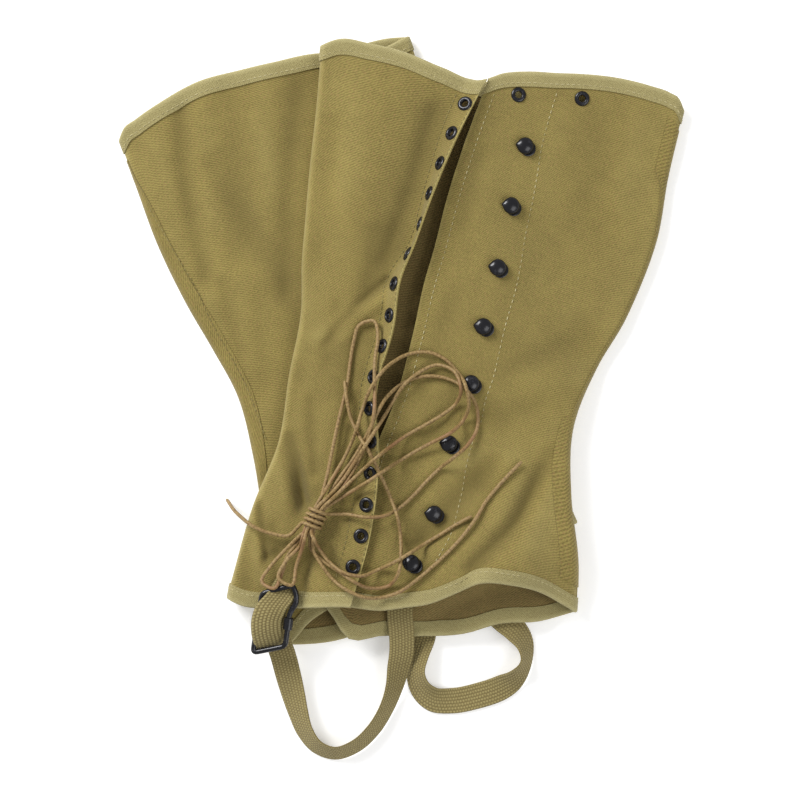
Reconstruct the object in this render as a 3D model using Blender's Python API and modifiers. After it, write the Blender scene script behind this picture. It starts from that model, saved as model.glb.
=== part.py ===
"""A pair of laced canvas gaiters, laid flat one across the other.

Each gaiter is a wrap of canvas: a wide eyelet panel and a narrow hook panel, joined by a
felled seam at the calf and open between the hooks and the eyelets. Tape binds the top and
the hem, a webbing strap goes under the foot, and two laces lie bundled on top.
Tables are in millimetres. Across and down are measured on each gaiter from the middle of
its top edge, and the world's origin is under the middle of the whole pair, on the surface.
"""

import math
from collections import namedtuple

import bmesh
import bpy
import numpy as np
from mathutils import Matrix

MM = 0.001

# Thicknesses and clearances
WALL = 1.2
TAPE = 0.8
TAPE_WIDTH = 8.0
GAP = 0.3
TAPE_GAP = 0.65
SEAM_STRIP = 0.9
SEAM_GAP = 0.5
WEBBING = 1.6
WEBBING_WIDTH = 15.6
BUCKLE_WIRE = 3.4
LACE = 2.2
LACE_CLEAR = 0.3
SURFACE_GAP = 0.03

# The turned up edge of the eyelet panel: a straight strip and the bend at its foot
TURN_FLAT = 9.5
TURN_BEND = 5.0
TURN_SHARE = 0.4
LAP_FADE = 3.6

# Hooks and eyelets
HOOK_CAP = 11.0
HOOK_BASE = 9.5
HOOK_TALL = 5.0
HOOK_LEAN = 1.4
HOOK_SEAT = WALL / 2 + 0.55
HOOK_DISC = 1.0
HOOK_NECK = 4.8
HOOK_RIM = 3.2
HOOK_DOME = 2.0
EYELET_OUTER = 9.0
EYELET_HOLE = 4.2
EYELET_FLANGE = 0.7
EYELET_SEAT = WALL / 2 + 0.5
EYELET_CLEAR = 0.9

NOMINAL_LENGTH = 320.0
# The middle of the seam fold, as a place round the ring
SEAM_MIDDLE = 3.5
TAPE_STEP = 1.5
STEP_RUN = 10.0
BED_CLEARANCE = 2.0
BED_RUN = 38.0
SOFT_BED_RUN = 60.0

Section = namedtuple(
    "Section", "down far seam flap hook far_gap seam_gap crown turn_up lap strip"
)
Edge = namedtuple("Edge", "share top bottom")
Fold = namedtuple("Fold", "across down to_across to_down height width")
Bump = namedtuple("Bump", "across down height across_reach down_reach")
Stop = namedtuple("Stop", "x y z heading lean")
Prop = namedtuple("Prop", "x y height reach run")
Pass = namedtuple("Pass", "aside level upwards")

UPPER_SECTIONS = [
    Section(0, -110, 110, -9, -6, 6, 6, 4, 6, 0, 5),
    Section(40, -106, 108, -20, -15, 6, 6, 3, 45, 0, 5),
    Section(80, -103, 108, -29, -20, 6, 6, 3, 74, 0, 3),
    Section(110, -100, 103, -34, -22, 6, 6, 3, 84, 0, 3),
    Section(130, -98, 98, -38, -24, 6, 6, 3, 62, 0, 3),
    Section(160, -93, 87, -37, -25, 6, 6, 3, 54, 0, 3),
    Section(200, -93, 79, -40, -28, 6, 6, 3, 50, 0, 4),
    Section(240, -92, 85, -31, -36, 6, 7, 3, 34, 2.4, 9),
    Section(280, -100, 97, -28, -40, 6, 9, 4, 6, 3.4, 9),
    Section(330, -105, 104, -32, -44, 6, 10, 4, 4, 5.2, 9),
]
UPPER_OPEN_EDGE = [
    Edge(0.0, 3, 337),
    Edge(0.04, -2, 339),
    Edge(0.13, -3, 337),
    Edge(0.22, -2, 333),
    Edge(0.33, 3, 328),
    Edge(0.44, 6, 326),
    Edge(0.5, -1, 322),
    Edge(0.57, -5, 317),
    Edge(0.64, -7, 308),
    Edge(0.7, -9, 300),
    Edge(0.8, -11, 297),
    Edge(0.9, -10, 299),
    Edge(0.97, -8, 304),
    Edge(1.0, -3, 307),
]
UPPER_CLOSED_EDGE = [
    Edge(0.0, 3, 337),
    Edge(0.12, 2, 335),
    Edge(0.28, 4, 331),
    Edge(0.36, 5, 347),
    Edge(0.45, 5, 342),
    Edge(0.56, 2, 338),
    Edge(0.68, -2, 332),
    Edge(0.78, -4, 322),
    Edge(0.9, -5, 316),
    Edge(1.0, -3, 307),
]
UPPER_FOLDS = [
    Fold(-88, 232, -70, 282, -2.5, 5),
    Fold(-104, 262, -100, 320, 1.5, 8),
    Fold(-45, 100, -62, 196, -2.0, 9),
    Fold(-34, 130, -82, 176, 1.8, 6),
    Fold(6, 232, 52, 226, 2.0, 10),
    Fold(40, 225, -4, 292, -3.5, 8),
    Fold(-30, 20, -60, 110, -1.5, 12),
]
UPPER_BUMPS = [
    Bump(52, 292, 9.0, 34, 24),
    Bump(40, 262, 3.0, 26, 20),
    Bump(-70, 60, 1.5, 30, 60),
]
LOWER_SECTIONS = [
    Section(-15, 92, -92, 26, 24.6, 5.2, 5.2, 4.5, 0, 0, 5),
    Section(20, 92, -91, 26, 24.6, 5.2, 5.2, 3.2, 0, 0, 6),
    Section(60, 91, -90, 22, 20.6, 5.2, 5.2, 2, 0, 0, 9),
    Section(100, 89, -85, 18, 16.6, 5.2, 5.2, 2, 0, 0, 12),
    Section(130, 87, -79, 13, 11.6, 5.2, 5.2, 2, 0, 0, 9),
    Section(160, 86, -74, 10, 8.6, 5.2, 5.2, 2, 0, 0, 5),
    Section(200, 85, -77, 8, 6.6, 5.2, 5.2, 2, 0, 0, 5),
    Section(240, 87, -84, 7, 5.6, 5.2, 5.6, 2, 0, 0, 6),
    Section(280, 91, -90, 7, 5.6, 5.4, 6.2, 2, 0, 0, 7),
    Section(320, 95, -95, 7, 5.6, 6, 7, 2, 0, 0, 7),
]
LOWER_OPEN_EDGE = [
    Edge(0.0, -9, 299),
    Edge(0.06, -12, 300),
    Edge(0.17, -14, 304),
    Edge(0.3, -16, 308),
    Edge(0.5, -20, 313),
    Edge(0.7, -22, 318),
    Edge(0.85, -18, 319),
    Edge(0.96, -12, 315),
    Edge(1.0, -10, 312),
]
LOWER_CLOSED_EDGE = [
    Edge(0.0, -9, 299),
    Edge(0.15, -7, 297),
    Edge(0.3, -11, 296),
    Edge(0.45, -19, 297),
    Edge(0.55, -22, 298),
    Edge(0.7, -24, 297),
    Edge(0.84, -19, 299),
    Edge(0.92, -15, 304),
    Edge(1.0, -10, 312),
]
LOWER_FOLDS = [
    Fold(-46, 20, -28, 95, -1.6, 8),
    Fold(-28, 95, -22, 160, -1.2, 9),
    Fold(-20, -5, -2, 70, 1.0, 10),
]
LOWER_BUMPS = [Bump(-50, 60, 1.0, 30, 50)]

# Fastenings on the upper gaiter
HOOK_ROW = [(39, 21), (76, 19), (114, 18), (150, 16), (185, 15), (223, 9), (265, 7), (297, 0)]
TOP_EYELETS = [(9, 11), (4, 49)]
FLAP_EYELET_FIRST = 21.0
FLAP_EYELET_PITCH = 18.9
FLAP_EYELET_COUNT = 16
FLAP_EYELET_INSET = 5.4

# Straps, as stops along the middle of the webbing: place, height, the compass of its
# width and its lean, in degrees
UPPER_STRAP = [
    Stop(0, -116, 16.6, 0, 0),
    Stop(-1, -128, 17.6, 0, -2),
    Stop(0, -140, 14.6, -2, -10),
    Stop(0, -152, 12.0, -8, -18),
    Stop(-2, -162, 9.8, -12, -32),
    Stop(-4, -172, 8.2, -16, -46),
    Stop(-9, -186, 7.4, -26, -55),
    Stop(-17, -199, 7.4, -40, -56),
    Stop(-28, -209, 7.4, -60, -56),
    Stop(-40, -213, 7.4, -90, -56),
    Stop(-51, -209, 7.2, -126, -54),
    Stop(-58, -200, 7.0, -150, -48),
    Stop(-62, -189, 6.4, -162, -38),
    Stop(-65, -178, 6.2, -166, -24),
    Stop(-68, -166, 8.4, -166, -9),
    Stop(-71, -154, 12.2, -167, 0),
    Stop(-74.5, -143, 15.4, -168, -3),
    Stop(-76.5, -132, 21.6, -169, -8),
    Stop(-77.5, -124.5, 25.5, -170, -9),
    Stop(-78, -120.2, 26.8, -170, -9),
    Stop(-78, -118.7, 28.6, -170, -6),
    Stop(-78, -121.5, 30.4, -170, -4),
    Stop(-78, -129, 28.8, -170, 0),
    Stop(-78, -137, 24.4, -170, 0),
    Stop(-78, -146, 18.6, -170, 0),
]
LOWER_STRAP = [
    Stop(18, -104, 5.3, 0, 0),
    Stop(17, -114, 5.4, 0, 0),
    Stop(15.5, -125, 5.2, -2, 0),
    Stop(14.5, -134, 3.4, -8, 5),
    Stop(13, -143, 3.4, -14, 12),
    Stop(10, -154, 5.8, -12, 36),
    Stop(8.5, -165, 6.8, 4, 45),
    Stop(11.5, -174.5, 5.6, 36, 34),
    Stop(19, -181, 3.4, 70, 14),
    Stop(30, -182, 1.6, 92, 2),
    Stop(46, -179, 1.4, 102, 0),
    Stop(60, -174, 2.8, 116, 10),
    Stop(69.5, -167.5, 6.4, 136, 42),
    Stop(75, -158, 8.0, 166, 62),
    Stop(74.5, -148, 7.2, 200, 48),
    Stop(69, -139.5, 7.4, 222, 22),
    Stop(61, -132.5, 7.3, 230, 4),
    Stop(54, -126.5, 7.1, 230, 0),
    Stop(47, -120.5, 6.2, 230, 0),
]
# What props the upper gaiter's hem: the other strap's ends and its buckle
PROPS = [Prop(16, -136, 7.2, 12, 20), Prop(56, -125, 8.6, 19, 24)]

# Buckle frames: corners in order, with the height of each, and the roller's stretch of a side
UPPER_BUCKLE = [(-87.0, -115.0, 27.6), (-63.7, -109.5, 30.2), (-67.0, -149.0, 23.6), (-90.0, -153.5, 19.6)]
LOWER_BUCKLE = [(52.4, -107.8, 2.1), (66.0, -119.4, 3.1), (51.6, -136.2, 3.1), (38.0, -124.6, 2.1)]
ROLLER_SPAN = (0.42, 0.74)
ROLLER_OUTER = 5.6

# Lace routes, in pixels of the photograph's frame, turned into millimetres below
PIXEL = 0.6
FRAME_MIDDLE = (401.5, 399.0)
TAIL_LEFT = [(226, 500), (238, 513), (250, 523), (265, 530), (281, 534), (292, 533.5), (299, 530)]
LOOP_RIGHT = [
    (345, 513), (360, 515), (378, 516), (395, 510), (410, 498), (426, 481), (445, 463), (464, 448),
    (475, 433), (478, 417), (473, 401), (463, 387), (447, 379), (430, 376), (410, 380), (395, 389),
    (384, 401), (375, 418), (366, 437), (352, 461), (334, 486),
]
LOOP_TALL = [
    (325, 486), (333, 449), (340, 416), (347, 387), (351, 359), (355, 338), (360, 325), (369, 318),
    (377, 326), (378, 341), (375, 360), (375, 385), (375, 405), (373, 422), (367, 442), (357, 464),
    (342, 488),
]
LOOP_WIDE = [
    (346, 494), (363, 484), (384, 470), (407, 456), (426, 445), (449, 433), (463, 420), (468, 407),
    (467, 393), (461, 379), (451, 365), (437, 355), (422, 352), (407, 355), (391, 364), (380, 375),
    (372, 387), (366, 400), (359, 422), (349, 449), (335, 474),
]
LOOP_SHORT = [
    (338, 486), (356, 460), (369, 440), (379, 425), (390, 407), (398, 393), (406, 383), (417, 374),
    (430, 367), (443, 365), (453, 371), (459, 381), (460, 392), (456, 403), (447, 411), (430, 422),
    (410, 433), (392, 445), (372, 461), (357, 475), (341, 490),
]
LOOP_LOW = [
    (302, 538), (292, 549), (285, 562), (282, 576), (276, 586), (268, 588), (263, 582), (266, 573),
    (275, 561), (288, 547), (299, 536),
]
LOOP_LOW_INNER = [
    (303, 542), (293, 552), (285, 563), (280, 575), (282, 584), (289, 586), (295, 579), (297, 565),
    (301, 551), (307, 538),
]
TAIL_BACK = [
    (310, 543), (317, 554), (329, 563), (345, 573), (361, 583), (376, 587), (389, 584), (397, 575),
    (400, 562), (401, 549), (400, 531), (397, 514), (391, 498), (384, 481), (376, 464), (367, 447),
    (357, 431), (352, 420), (348, 404), (345, 381),
]
TAIL_LONG = [
    (521, 461), (512, 470), (499, 484), (487, 498), (474, 519), (452, 546), (431, 566), (410, 583),
    (393, 593), (376, 596), (361, 594), (345, 586), (331, 575), (320, 559), (313, 543),
]
TAIL_SHORT = [
    (317, 542), (326, 556), (337, 566), (348, 572), (360, 574), (374, 570), (391, 562), (410, 551),
    (439, 534), (458, 522), (471, 515),
]
# The knot: lace one winds round both laces where they are drawn together
KNOT = (316, 517)
KNOT_AXIS = (0.435, 0.900)
KNOT_RADIUS = 5.5
KNOT_TURN = -1260.0
KNOT_HALF = 5.4
KNOT_POINTS = 32
KNOT_REACH = 7.5
# Strands drawn through the knot: how far aside, which level of the bundle, and which way
PASSES_ONE = [Pass(1.3, -1, False), Pass(-1.3, -1, True), Pass(0.0, 0, False)]
PASSES_TWO = [Pass(2.6, 0, True), Pass(-2.6, 0, False), Pass(-1.3, 1, True), Pass(1.3, 1, False)]
LEVEL = 2.5
# How near to the knot, as a share of a stretch, a lace's height is still the knot's own
NEAR_KNOT = 0.4
LACE_STEP = 11.0
LACE_OFF_CLOTH = 0.9
LACE_OVER_TAPE = 1.5
LACE_OVER_EYELETS = 1.4
HOOK_CLEAR_REACH = 8.0


def material(name, colour, roughness, metallic=0.0):
    """A Principled material of one colour."""
    made = bpy.data.materials.new(name)
    made.use_nodes = True
    shader = made.node_tree.nodes["Principled BSDF"]
    shader.inputs["Base Color"].default_value = (*colour, 1.0)
    shader.inputs["Roughness"].default_value = roughness
    shader.inputs["Metallic"].default_value = metallic
    return made


def curve_through(xs, ys, at):
    """A cubic through a short table, level past its ends."""
    xs = np.asarray(xs, float)
    ys = np.asarray(ys, float)
    slope = np.gradient(ys, xs)
    at = np.clip(at, xs[0], xs[-1])
    i = np.clip(np.searchsorted(xs, at) - 1, 0, len(xs) - 2)
    run = xs[i + 1] - xs[i]
    t = (at - xs[i]) / run
    return (
        (2 * t**3 - 3 * t**2 + 1) * ys[i]
        + (t**3 - 2 * t**2 + t) * run * slope[i]
        + (3 * t**2 - 2 * t**3) * ys[i + 1]
        + (t**3 - t**2) * run * slope[i + 1]
    )


def column(table, name, at):
    """One named column of a table, read at a place along its first column."""
    first = table[0]._fields[0]
    return curve_through([getattr(row, first) for row in table], [getattr(row, name) for row in table], at)


def ease(t):
    """A smooth step from 0 to 1."""
    t = np.clip(t, 0.0, 1.0)
    return t * t * (3 - 2 * t)


class Gaiter:
    """One gaiter as a surface: the middle of its canvas wall."""

    def __init__(self, name, middle, turn, side, open_up, sections, open_edge, closed_edge):
        self.name = name
        self.middle = middle
        self.cos = math.cos(math.radians(turn))
        self.sin = math.sin(math.radians(turn))
        self.side = side
        self.open_up = open_up
        self.sections = sections
        self.open_edge = open_edge
        self.closed_edge = closed_edge
        self.folds = []
        self.bumps = []
        self.under = None

    def world(self, across, down):
        x = self.middle[0] + across * self.cos - down * self.sin
        y = self.middle[1] - across * self.sin - down * self.cos
        return x, y

    def local(self, x, y):
        dx = x - self.middle[0]
        dy = y - self.middle[1]
        return dx * self.cos - dy * self.sin, -dx * self.sin - dy * self.cos

    def row(self, name, down):
        return column(self.sections, name, down)

    def share(self, across, down):
        """0 at the far fold and 1 at the seam fold."""
        far = self.row("far", down)
        return np.clip((across - far) / (self.row("seam", down) - far), 0.0, 1.0)

    def bed(self, x, y, run):
        """The height of what lies under this gaiter, easing to the surface past its edge."""
        if self.under is None:
            return 0.0 * x
        lower = self.under
        across, down = lower.local(x, y)
        top = column(lower.open_edge, "top", 0.5)
        bottom = column(lower.open_edge, "bottom", 0.6)
        inside_down = np.clip(down, top, bottom)
        far = lower.row("far", inside_down)
        seam = lower.row("seam", inside_down)
        low = np.minimum(far, seam)
        high = np.maximum(far, seam)
        inside_across = np.clip(across, low, high)
        share = lower.share(inside_across, inside_down)
        hem = (1 - share) * lower.open_edge[0].bottom + share * lower.open_edge[-1].bottom + 7 * share * (1 - share)
        beyond = np.maximum(np.maximum(low - across, across - high), np.maximum(top - down, down - hem))
        height = lower.roof(inside_across, inside_down) + WALL / 2 + BED_CLEARANCE
        height = height * (1 - ease((beyond - 1.0) / run))
        for prop in PROPS:
            away = np.hypot(x - prop.x, y - prop.y)
            height = np.maximum(height, prop.height * (1 - ease((away - prop.reach) / (prop.run + run - BED_RUN))))
        return height

    def floor(self, across, down):
        """The height of the lower layer."""
        x, y = self.world(across, down)
        share = self.share(across, down)
        edge = self.closed_edge if self.open_up else self.open_edge
        from_edge = np.minimum(down - column(edge, "top", share), column(edge, "bottom", share) - down)
        step = TAPE_STEP * (1 - ease((from_edge - TAPE_WIDTH - 1) / STEP_RUN))
        return WALL / 2 + SURFACE_GAP + self.bed(x, y, BED_RUN) + step

    def roof(self, across, down):
        """The height of the upper layer, with its folds."""
        x, y = self.world(across, down)
        share = self.share(across, down)
        gap = (1 - share) * self.row("far_gap", down) + share * self.row("seam_gap", down)
        crown = self.row("crown", down) * 4 * share * (1 - share)
        inside = ease(6 * share) * ease(6 * (1 - share))
        height = WALL / 2 + TAPE_STEP + self.bed(x, y, SOFT_BED_RUN) + gap + crown
        for fold in self.folds:
            height = height + inside * crease(fold, across, down)
        for bump in self.bumps:
            far_off = ((across - bump.across) / bump.across_reach) ** 2 + ((down - bump.down) / bump.down_reach) ** 2
            height = height + inside * bump.height * np.exp(-far_off)
        return height

    def turned_up(self, along, down):
        """Plan distance and height of the eyelet edge's strip, at a distance along it."""
        angle = np.radians(np.maximum(self.row("turn_up", down), 1.0))
        bend = TURN_BEND / angle
        flat = np.minimum(along, TURN_FLAT)
        round_the_bend = np.maximum(along - TURN_FLAT, 0.0) / bend
        plan = flat * np.cos(angle) + bend * (np.sin(angle) - np.sin(angle - round_the_bend))
        fall = flat * np.sin(angle) + bend * (np.cos(angle - round_the_bend) - np.cos(angle))
        whole = TURN_FLAT * np.sin(angle) + bend * (1 - np.cos(angle))
        return plan, whole - fall

    def place(self, around, down_share):
        """World points of the surface.

        around runs from 0 at the eyelet edge to 1 and 2 about the far fold, 3 and 4 about
        the seam fold, and 5 at the hook edge. down_share is 0 at the top and 1 at the hem.
        """
        around = np.asarray(around, float)
        down_share = np.asarray(down_share, float)
        down = down_share * NOMINAL_LENGTH + 0 * around
        for _ in range(4):
            across, open_share, lift = self.section(around, down)
            share = self.share(across, down)
            top = open_share * column(self.open_edge, "top", share)
            top = top + (1 - open_share) * column(self.closed_edge, "top", share)
            bottom = open_share * column(self.open_edge, "bottom", share)
            bottom = bottom + (1 - open_share) * column(self.closed_edge, "bottom", share)
            down = top + down_share * (bottom - top)
        up_share = open_share if self.open_up else 1 - open_share
        low = self.floor(across, down)
        height = low + up_share * (self.roof(across, down) - low) + lift
        x, y = self.world(across, down)
        return np.stack([x, y, height], axis=-1)

    def section(self, around, down):
        """Across, the open layer's share and the extra height, for places round the ring."""
        side = self.side
        far_radius = self.row("far_gap", down) / 2
        seam_radius = self.row("seam_gap", down) / 2
        far_line = self.row("far", down) + side * far_radius
        seam_line = self.row("seam", down) - side * seam_radius
        stretch = np.clip(np.floor(around), 0, 4)
        t = around - stretch
        along = np.clip(t / TURN_SHARE, 0, 1) * (TURN_FLAT + TURN_BEND)
        plan, rise = self.turned_up(along, down)
        edge = self.row("flap", down) - side * plan
        flap_side = edge + np.clip((t - TURN_SHARE) / (1 - TURN_SHARE), 0, 1) * (far_line - edge)
        across = np.choose(
            stretch.astype(int),
            [
                flap_side,
                far_line - side * far_radius * np.sin(math.pi * t),
                far_line + t * (seam_line - far_line),
                seam_line + side * seam_radius * np.sin(math.pi * t),
                seam_line + t * (self.row("hook", down) - seam_line),
            ],
        )
        wave = np.cos(math.pi * t)
        open_share = np.choose(
            stretch.astype(int), [1 + 0 * t, (1 + wave) / 2, 0 * t, (1 - wave) / 2, 1 + 0 * t]
        )
        on_flap = stretch == 0
        lap = self.row("lap", down) * (1 - ease(LAP_FADE * (t - TURN_SHARE)))
        up = 1 if self.open_up else 0
        return across, open_share, up * np.where(on_flap, lap + rise, 0.0)

    def normal(self, around, down_share):
        """The outward normal of the surface."""
        step = 1e-3
        across = self.place(around + step, down_share) - self.place(around - step, down_share)
        down = self.place(around, down_share + step) - self.place(around, down_share - step)
        found = np.cross(across, down)
        found = found / np.linalg.norm(found, axis=-1, keepdims=True)
        return found * (self.side if self.open_up else -self.side)

    def moved(self, around, down_share, out, beyond=0.0):
        """Points of the surface moved out, and on past the edge along the cloth."""
        step = 1e-3
        down = self.place(around, down_share + step) - self.place(around, down_share - step)
        down = down / np.linalg.norm(down, axis=-1, keepdims=True)
        return self.place(around, down_share) + self.normal(around, down_share) * out + down * beyond

    def down_share_of(self, around, down):
        """The share of the length at which a place round the ring lies this far down."""
        low, high = 0.0, 1.0
        for _ in range(24):
            middle = (low + high) / 2
            point = self.place(np.array([around]), np.array([middle]))[0]
            if self.local(point[0], point[1])[1] < down:
                low = middle
            else:
                high = middle
        return (low + high) / 2

    def around_of_hook(self, across, down):
        """The place on the hook panel's outer face at this distance across."""
        seam_line = self.row("seam", down) - self.side * self.row("seam_gap", down) / 2
        return 4 + (across - seam_line) / (self.row("hook", down) - seam_line)


def crease(fold, across, down):
    """A soft trough or ridge along a line, fading at its ends."""
    run = np.array([fold.to_across - fold.across, fold.to_down - fold.down], float)
    length = np.linalg.norm(run)
    run = run / length
    along = (across - fold.across) * run[0] + (down - fold.down) * run[1]
    aside = (across - fold.across) * run[1] - (down - fold.down) * run[0]
    fade = ease((along + fold.width) / (2 * fold.width)) * ease((length + fold.width - along) / (2 * fold.width))
    return fold.height * np.exp(-((aside / fold.width) ** 2)) * fade


def keep(name, mesh, surface):
    """Adds an object made of a mesh in millimetres to the pair's collection."""
    mesh.transform(((MM, 0, 0, 0), (0, MM, 0, 0), (0, 0, MM, 0), (0, 0, 0, 1)))
    made = bpy.data.objects.new(name, mesh)
    made.data.materials.append(surface)
    PAIR.objects.link(made)
    return made


def sheet(name, grid, thick, surface, turned_rows=()):
    """A wall of even thickness about a grid of points.

    Each square is two triangles, cut the other way in the turned rows, so that tape and
    panel have the same facets where they lie on each other.
    """
    rows, columns = grid.shape[:2]
    faces = []
    for i in range(rows - 1):
        for j in range(columns - 1):
            here = i * columns + j
            below = here + columns
            if i in turned_rows:
                faces += [(here, here + 1, below), (here + 1, below + 1, below)]
            else:
                faces += [(here, here + 1, below + 1), (here, below + 1, below)]
    mesh = bpy.data.meshes.new(name)
    mesh.from_pydata([tuple(point) for point in grid.reshape(-1, 3)], [], faces)
    made = keep(name, mesh, surface)
    wall = made.modifiers.new("Wall", "SOLIDIFY")
    wall.thickness = thick * MM
    wall.offset = 0.0
    wall.use_even_offset = True
    return made


def steps(*stretches):
    """Places round the ring: each stretch is its first place, its last and how many steps."""
    places = [np.linspace(first, last, count + 1)[:-1] for first, last, count in stretches]
    return np.concatenate([*places, [stretches[-1][1]]])


def row_shares(rows):
    """Shares of the length for a panel's rows, one of them under each tape's inner edge."""
    leg = TAPE_WIDTH / NOMINAL_LENGTH
    return np.concatenate([[0.0], np.linspace(leg, 1 - leg, rows - 1), [1.0]])


def panel(gaiter, name, places, rows, surface):
    """One canvas panel."""
    around, down = np.meshgrid(places, row_shares(rows))
    return sheet(name, gaiter.place(around, down), WALL, surface)


def binding(gaiter, name, places, at_top, surface):
    """Tape folded over one edge of both panels: outer leg, turn and inner leg."""
    out = WALL / 2 + TAPE_GAP + TAPE / 2
    leg = TAPE_WIDTH / NOMINAL_LENGTH
    edge, inward, sign = (0.0, leg, -1) if at_top else (1.0, 1 - leg, 1)
    beyond = (TAPE_GAP + TAPE / 2) * 1.4
    around = places
    one = np.ones_like(places)
    grid = [
        gaiter.moved(around, inward * one, out),
        gaiter.moved(around, edge * one, out),
        gaiter.moved(around, edge * one, 0.0, sign * beyond),
        gaiter.moved(around, edge * one, -out),
        gaiter.moved(around, inward * one, -out),
    ]
    return sheet(name, np.stack(grid), TAPE, surface, (0,) if at_top else (3,))


def seam_strip(gaiter, name, surface, rows, first=0.04, last=0.955):
    """The felled strip of the calf seam, on the visible side of the seam fold."""
    down = np.linspace(first, last, rows + 1)
    nominal = down * NOMINAL_LENGTH
    radius = gaiter.row("seam_gap", nominal) / 2
    inner_turn = np.minimum(gaiter.row("strip", nominal) / (radius * math.pi / 2), 1.0) * 0.5
    beyond_turn = np.maximum(gaiter.row("strip", nominal) - radius * math.pi / 2, 0.0)
    width = abs(gaiter.row("seam", nominal) - gaiter.row("far", nominal))
    grid = []
    for t in (0.15, 0.36, 0.57, 0.78, 1.0):
        turn = t * (inner_turn + beyond_turn / width)
        around = SEAM_MIDDLE + turn if gaiter.open_up else SEAM_MIDDLE - turn
        grid.append(gaiter.moved(around, down, WALL / 2 + SEAM_GAP + SEAM_STRIP / 2))
    return sheet(name, np.stack(grid), SEAM_STRIP, surface)


def frame_of(normal, toward=(1.0, 0.0, 0.0)):
    """Three axes in columns: the third is the normal, the first lies near a direction."""
    third = normal / np.linalg.norm(normal)
    second = np.cross(third, toward)
    second = second / np.linalg.norm(second)
    return np.stack([np.cross(second, third), second, third], axis=1)


def screwed(name, profile, sides):
    """A turned ring or disc, as a mesh in millimetres."""
    outline = bpy.data.meshes.new(name)
    count = len(profile)
    closed = profile[0][0] > 0 and profile[-1][0] > 0
    edges = [(i, i + 1) for i in range(count - 1)] + ([(count - 1, 0)] if closed else [])
    outline.from_pydata([(radius, 0.0, height) for radius, height in profile], edges, [])
    return evaluated(outline, name, sides)


def evaluated(outline, name, sides):
    """The mesh that a Screw makes of an outline, shaded smooth."""
    guide = bpy.data.objects.new(name, outline)
    CUTTERS.objects.link(guide)
    screw = guide.modifiers.new("Turn", "SCREW")
    screw.steps = sides
    screw.render_steps = sides
    screw.use_merge_vertices = True
    screw.merge_threshold = 0.0001
    screw.use_normal_calculate = True
    bpy.context.view_layer.update()
    made = bpy.data.meshes.new_from_object(guide.evaluated_get(bpy.context.evaluated_depsgraph_get()))
    bpy.data.objects.remove(guide)
    welded = bmesh.new()
    welded.from_mesh(made)
    bmesh.ops.remove_doubles(welded, verts=welded.verts, dist=0.001)
    bmesh.ops.recalc_face_normals(welded, faces=welded.faces)
    welded.to_mesh(made)
    welded.free()
    made.shade_smooth()
    return made


def seated(name, mesh, surface, point, axes):
    """A copy of a small piece, seated on the cloth."""
    made = keep(name, mesh.copy(), surface)
    rows = np.eye(4)
    rows[:3, :3] = axes
    rows[:3, 3] = point * MM
    made.matrix_world = Matrix(rows.tolist())
    return made


def hook_mesh():
    """A hook: a base disc, a neck that leans to one side and a domed cap."""
    seat = HOOK_SEAT
    edge = HOOK_BASE / 2
    half = HOOK_DISC / 2
    base = [(0.0, seat + HOOK_DISC), (edge - 0.6, seat + HOOK_DISC), (edge, seat + half), (edge, seat), (0.0, seat)]
    stem = HOOK_NECK / 2
    neck = [(0.0, seat + HOOK_RIM + 0.4), (stem, seat + HOOK_RIM + 0.4), (stem, seat + half), (0.0, seat + half)]
    radius = HOOK_CAP / 2
    top = seat + HOOK_RIM + HOOK_DOME
    cap = [
        (0.0, top),
        (radius * 0.55, top - HOOK_DOME * 0.2),
        (radius * 0.92, top - HOOK_DOME * 0.65),
        (radius, seat + HOOK_RIM),
        (0.0, seat + HOOK_RIM - 0.3),
    ]
    parts = [(base, 10, 0.0), (neck, 6, HOOK_LEAN * 0.6), (cap, 12, HOOK_LEAN)]
    whole = None
    for k, (profile, sides, aside) in enumerate(parts):
        mesh = screwed(f"hook_part_{k}", profile, sides)
        mesh.transform(((1, 0, 0, -aside), (0, 1, 0, 0), (0, 0, 1, 0), (0, 0, 0, 1)))
        whole = mesh if whole is None else united(whole, mesh)
    return whole


def united(first, second):
    """Two closed meshes made one by a Boolean union."""
    body = bpy.data.objects.new("body", first)
    other = bpy.data.objects.new("other", second)
    for guide in (body, other):
        CUTTERS.objects.link(guide)
    join = body.modifiers.new("Join", "BOOLEAN")
    join.operation = "UNION"
    join.object = other
    bpy.context.view_layer.update()
    made = bpy.data.meshes.new_from_object(body.evaluated_get(bpy.context.evaluated_depsgraph_get()))
    for guide in (body, other):
        bpy.data.objects.remove(guide)
    return made


def eyelet_mesh():
    """An eyelet: a rolled flange on the outer face and a barrel through the canvas."""
    hole = EYELET_HOLE / 2
    seat = EYELET_SEAT
    profile = [
        (hole, seat + EYELET_FLANGE),
        (EYELET_OUTER / 2 - 0.5, seat + EYELET_FLANGE),
        (EYELET_OUTER / 2, seat),
        (hole + 0.5, seat),
        (hole, -WALL / 2),
    ]
    return screwed("eyelet", profile, 8)


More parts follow.
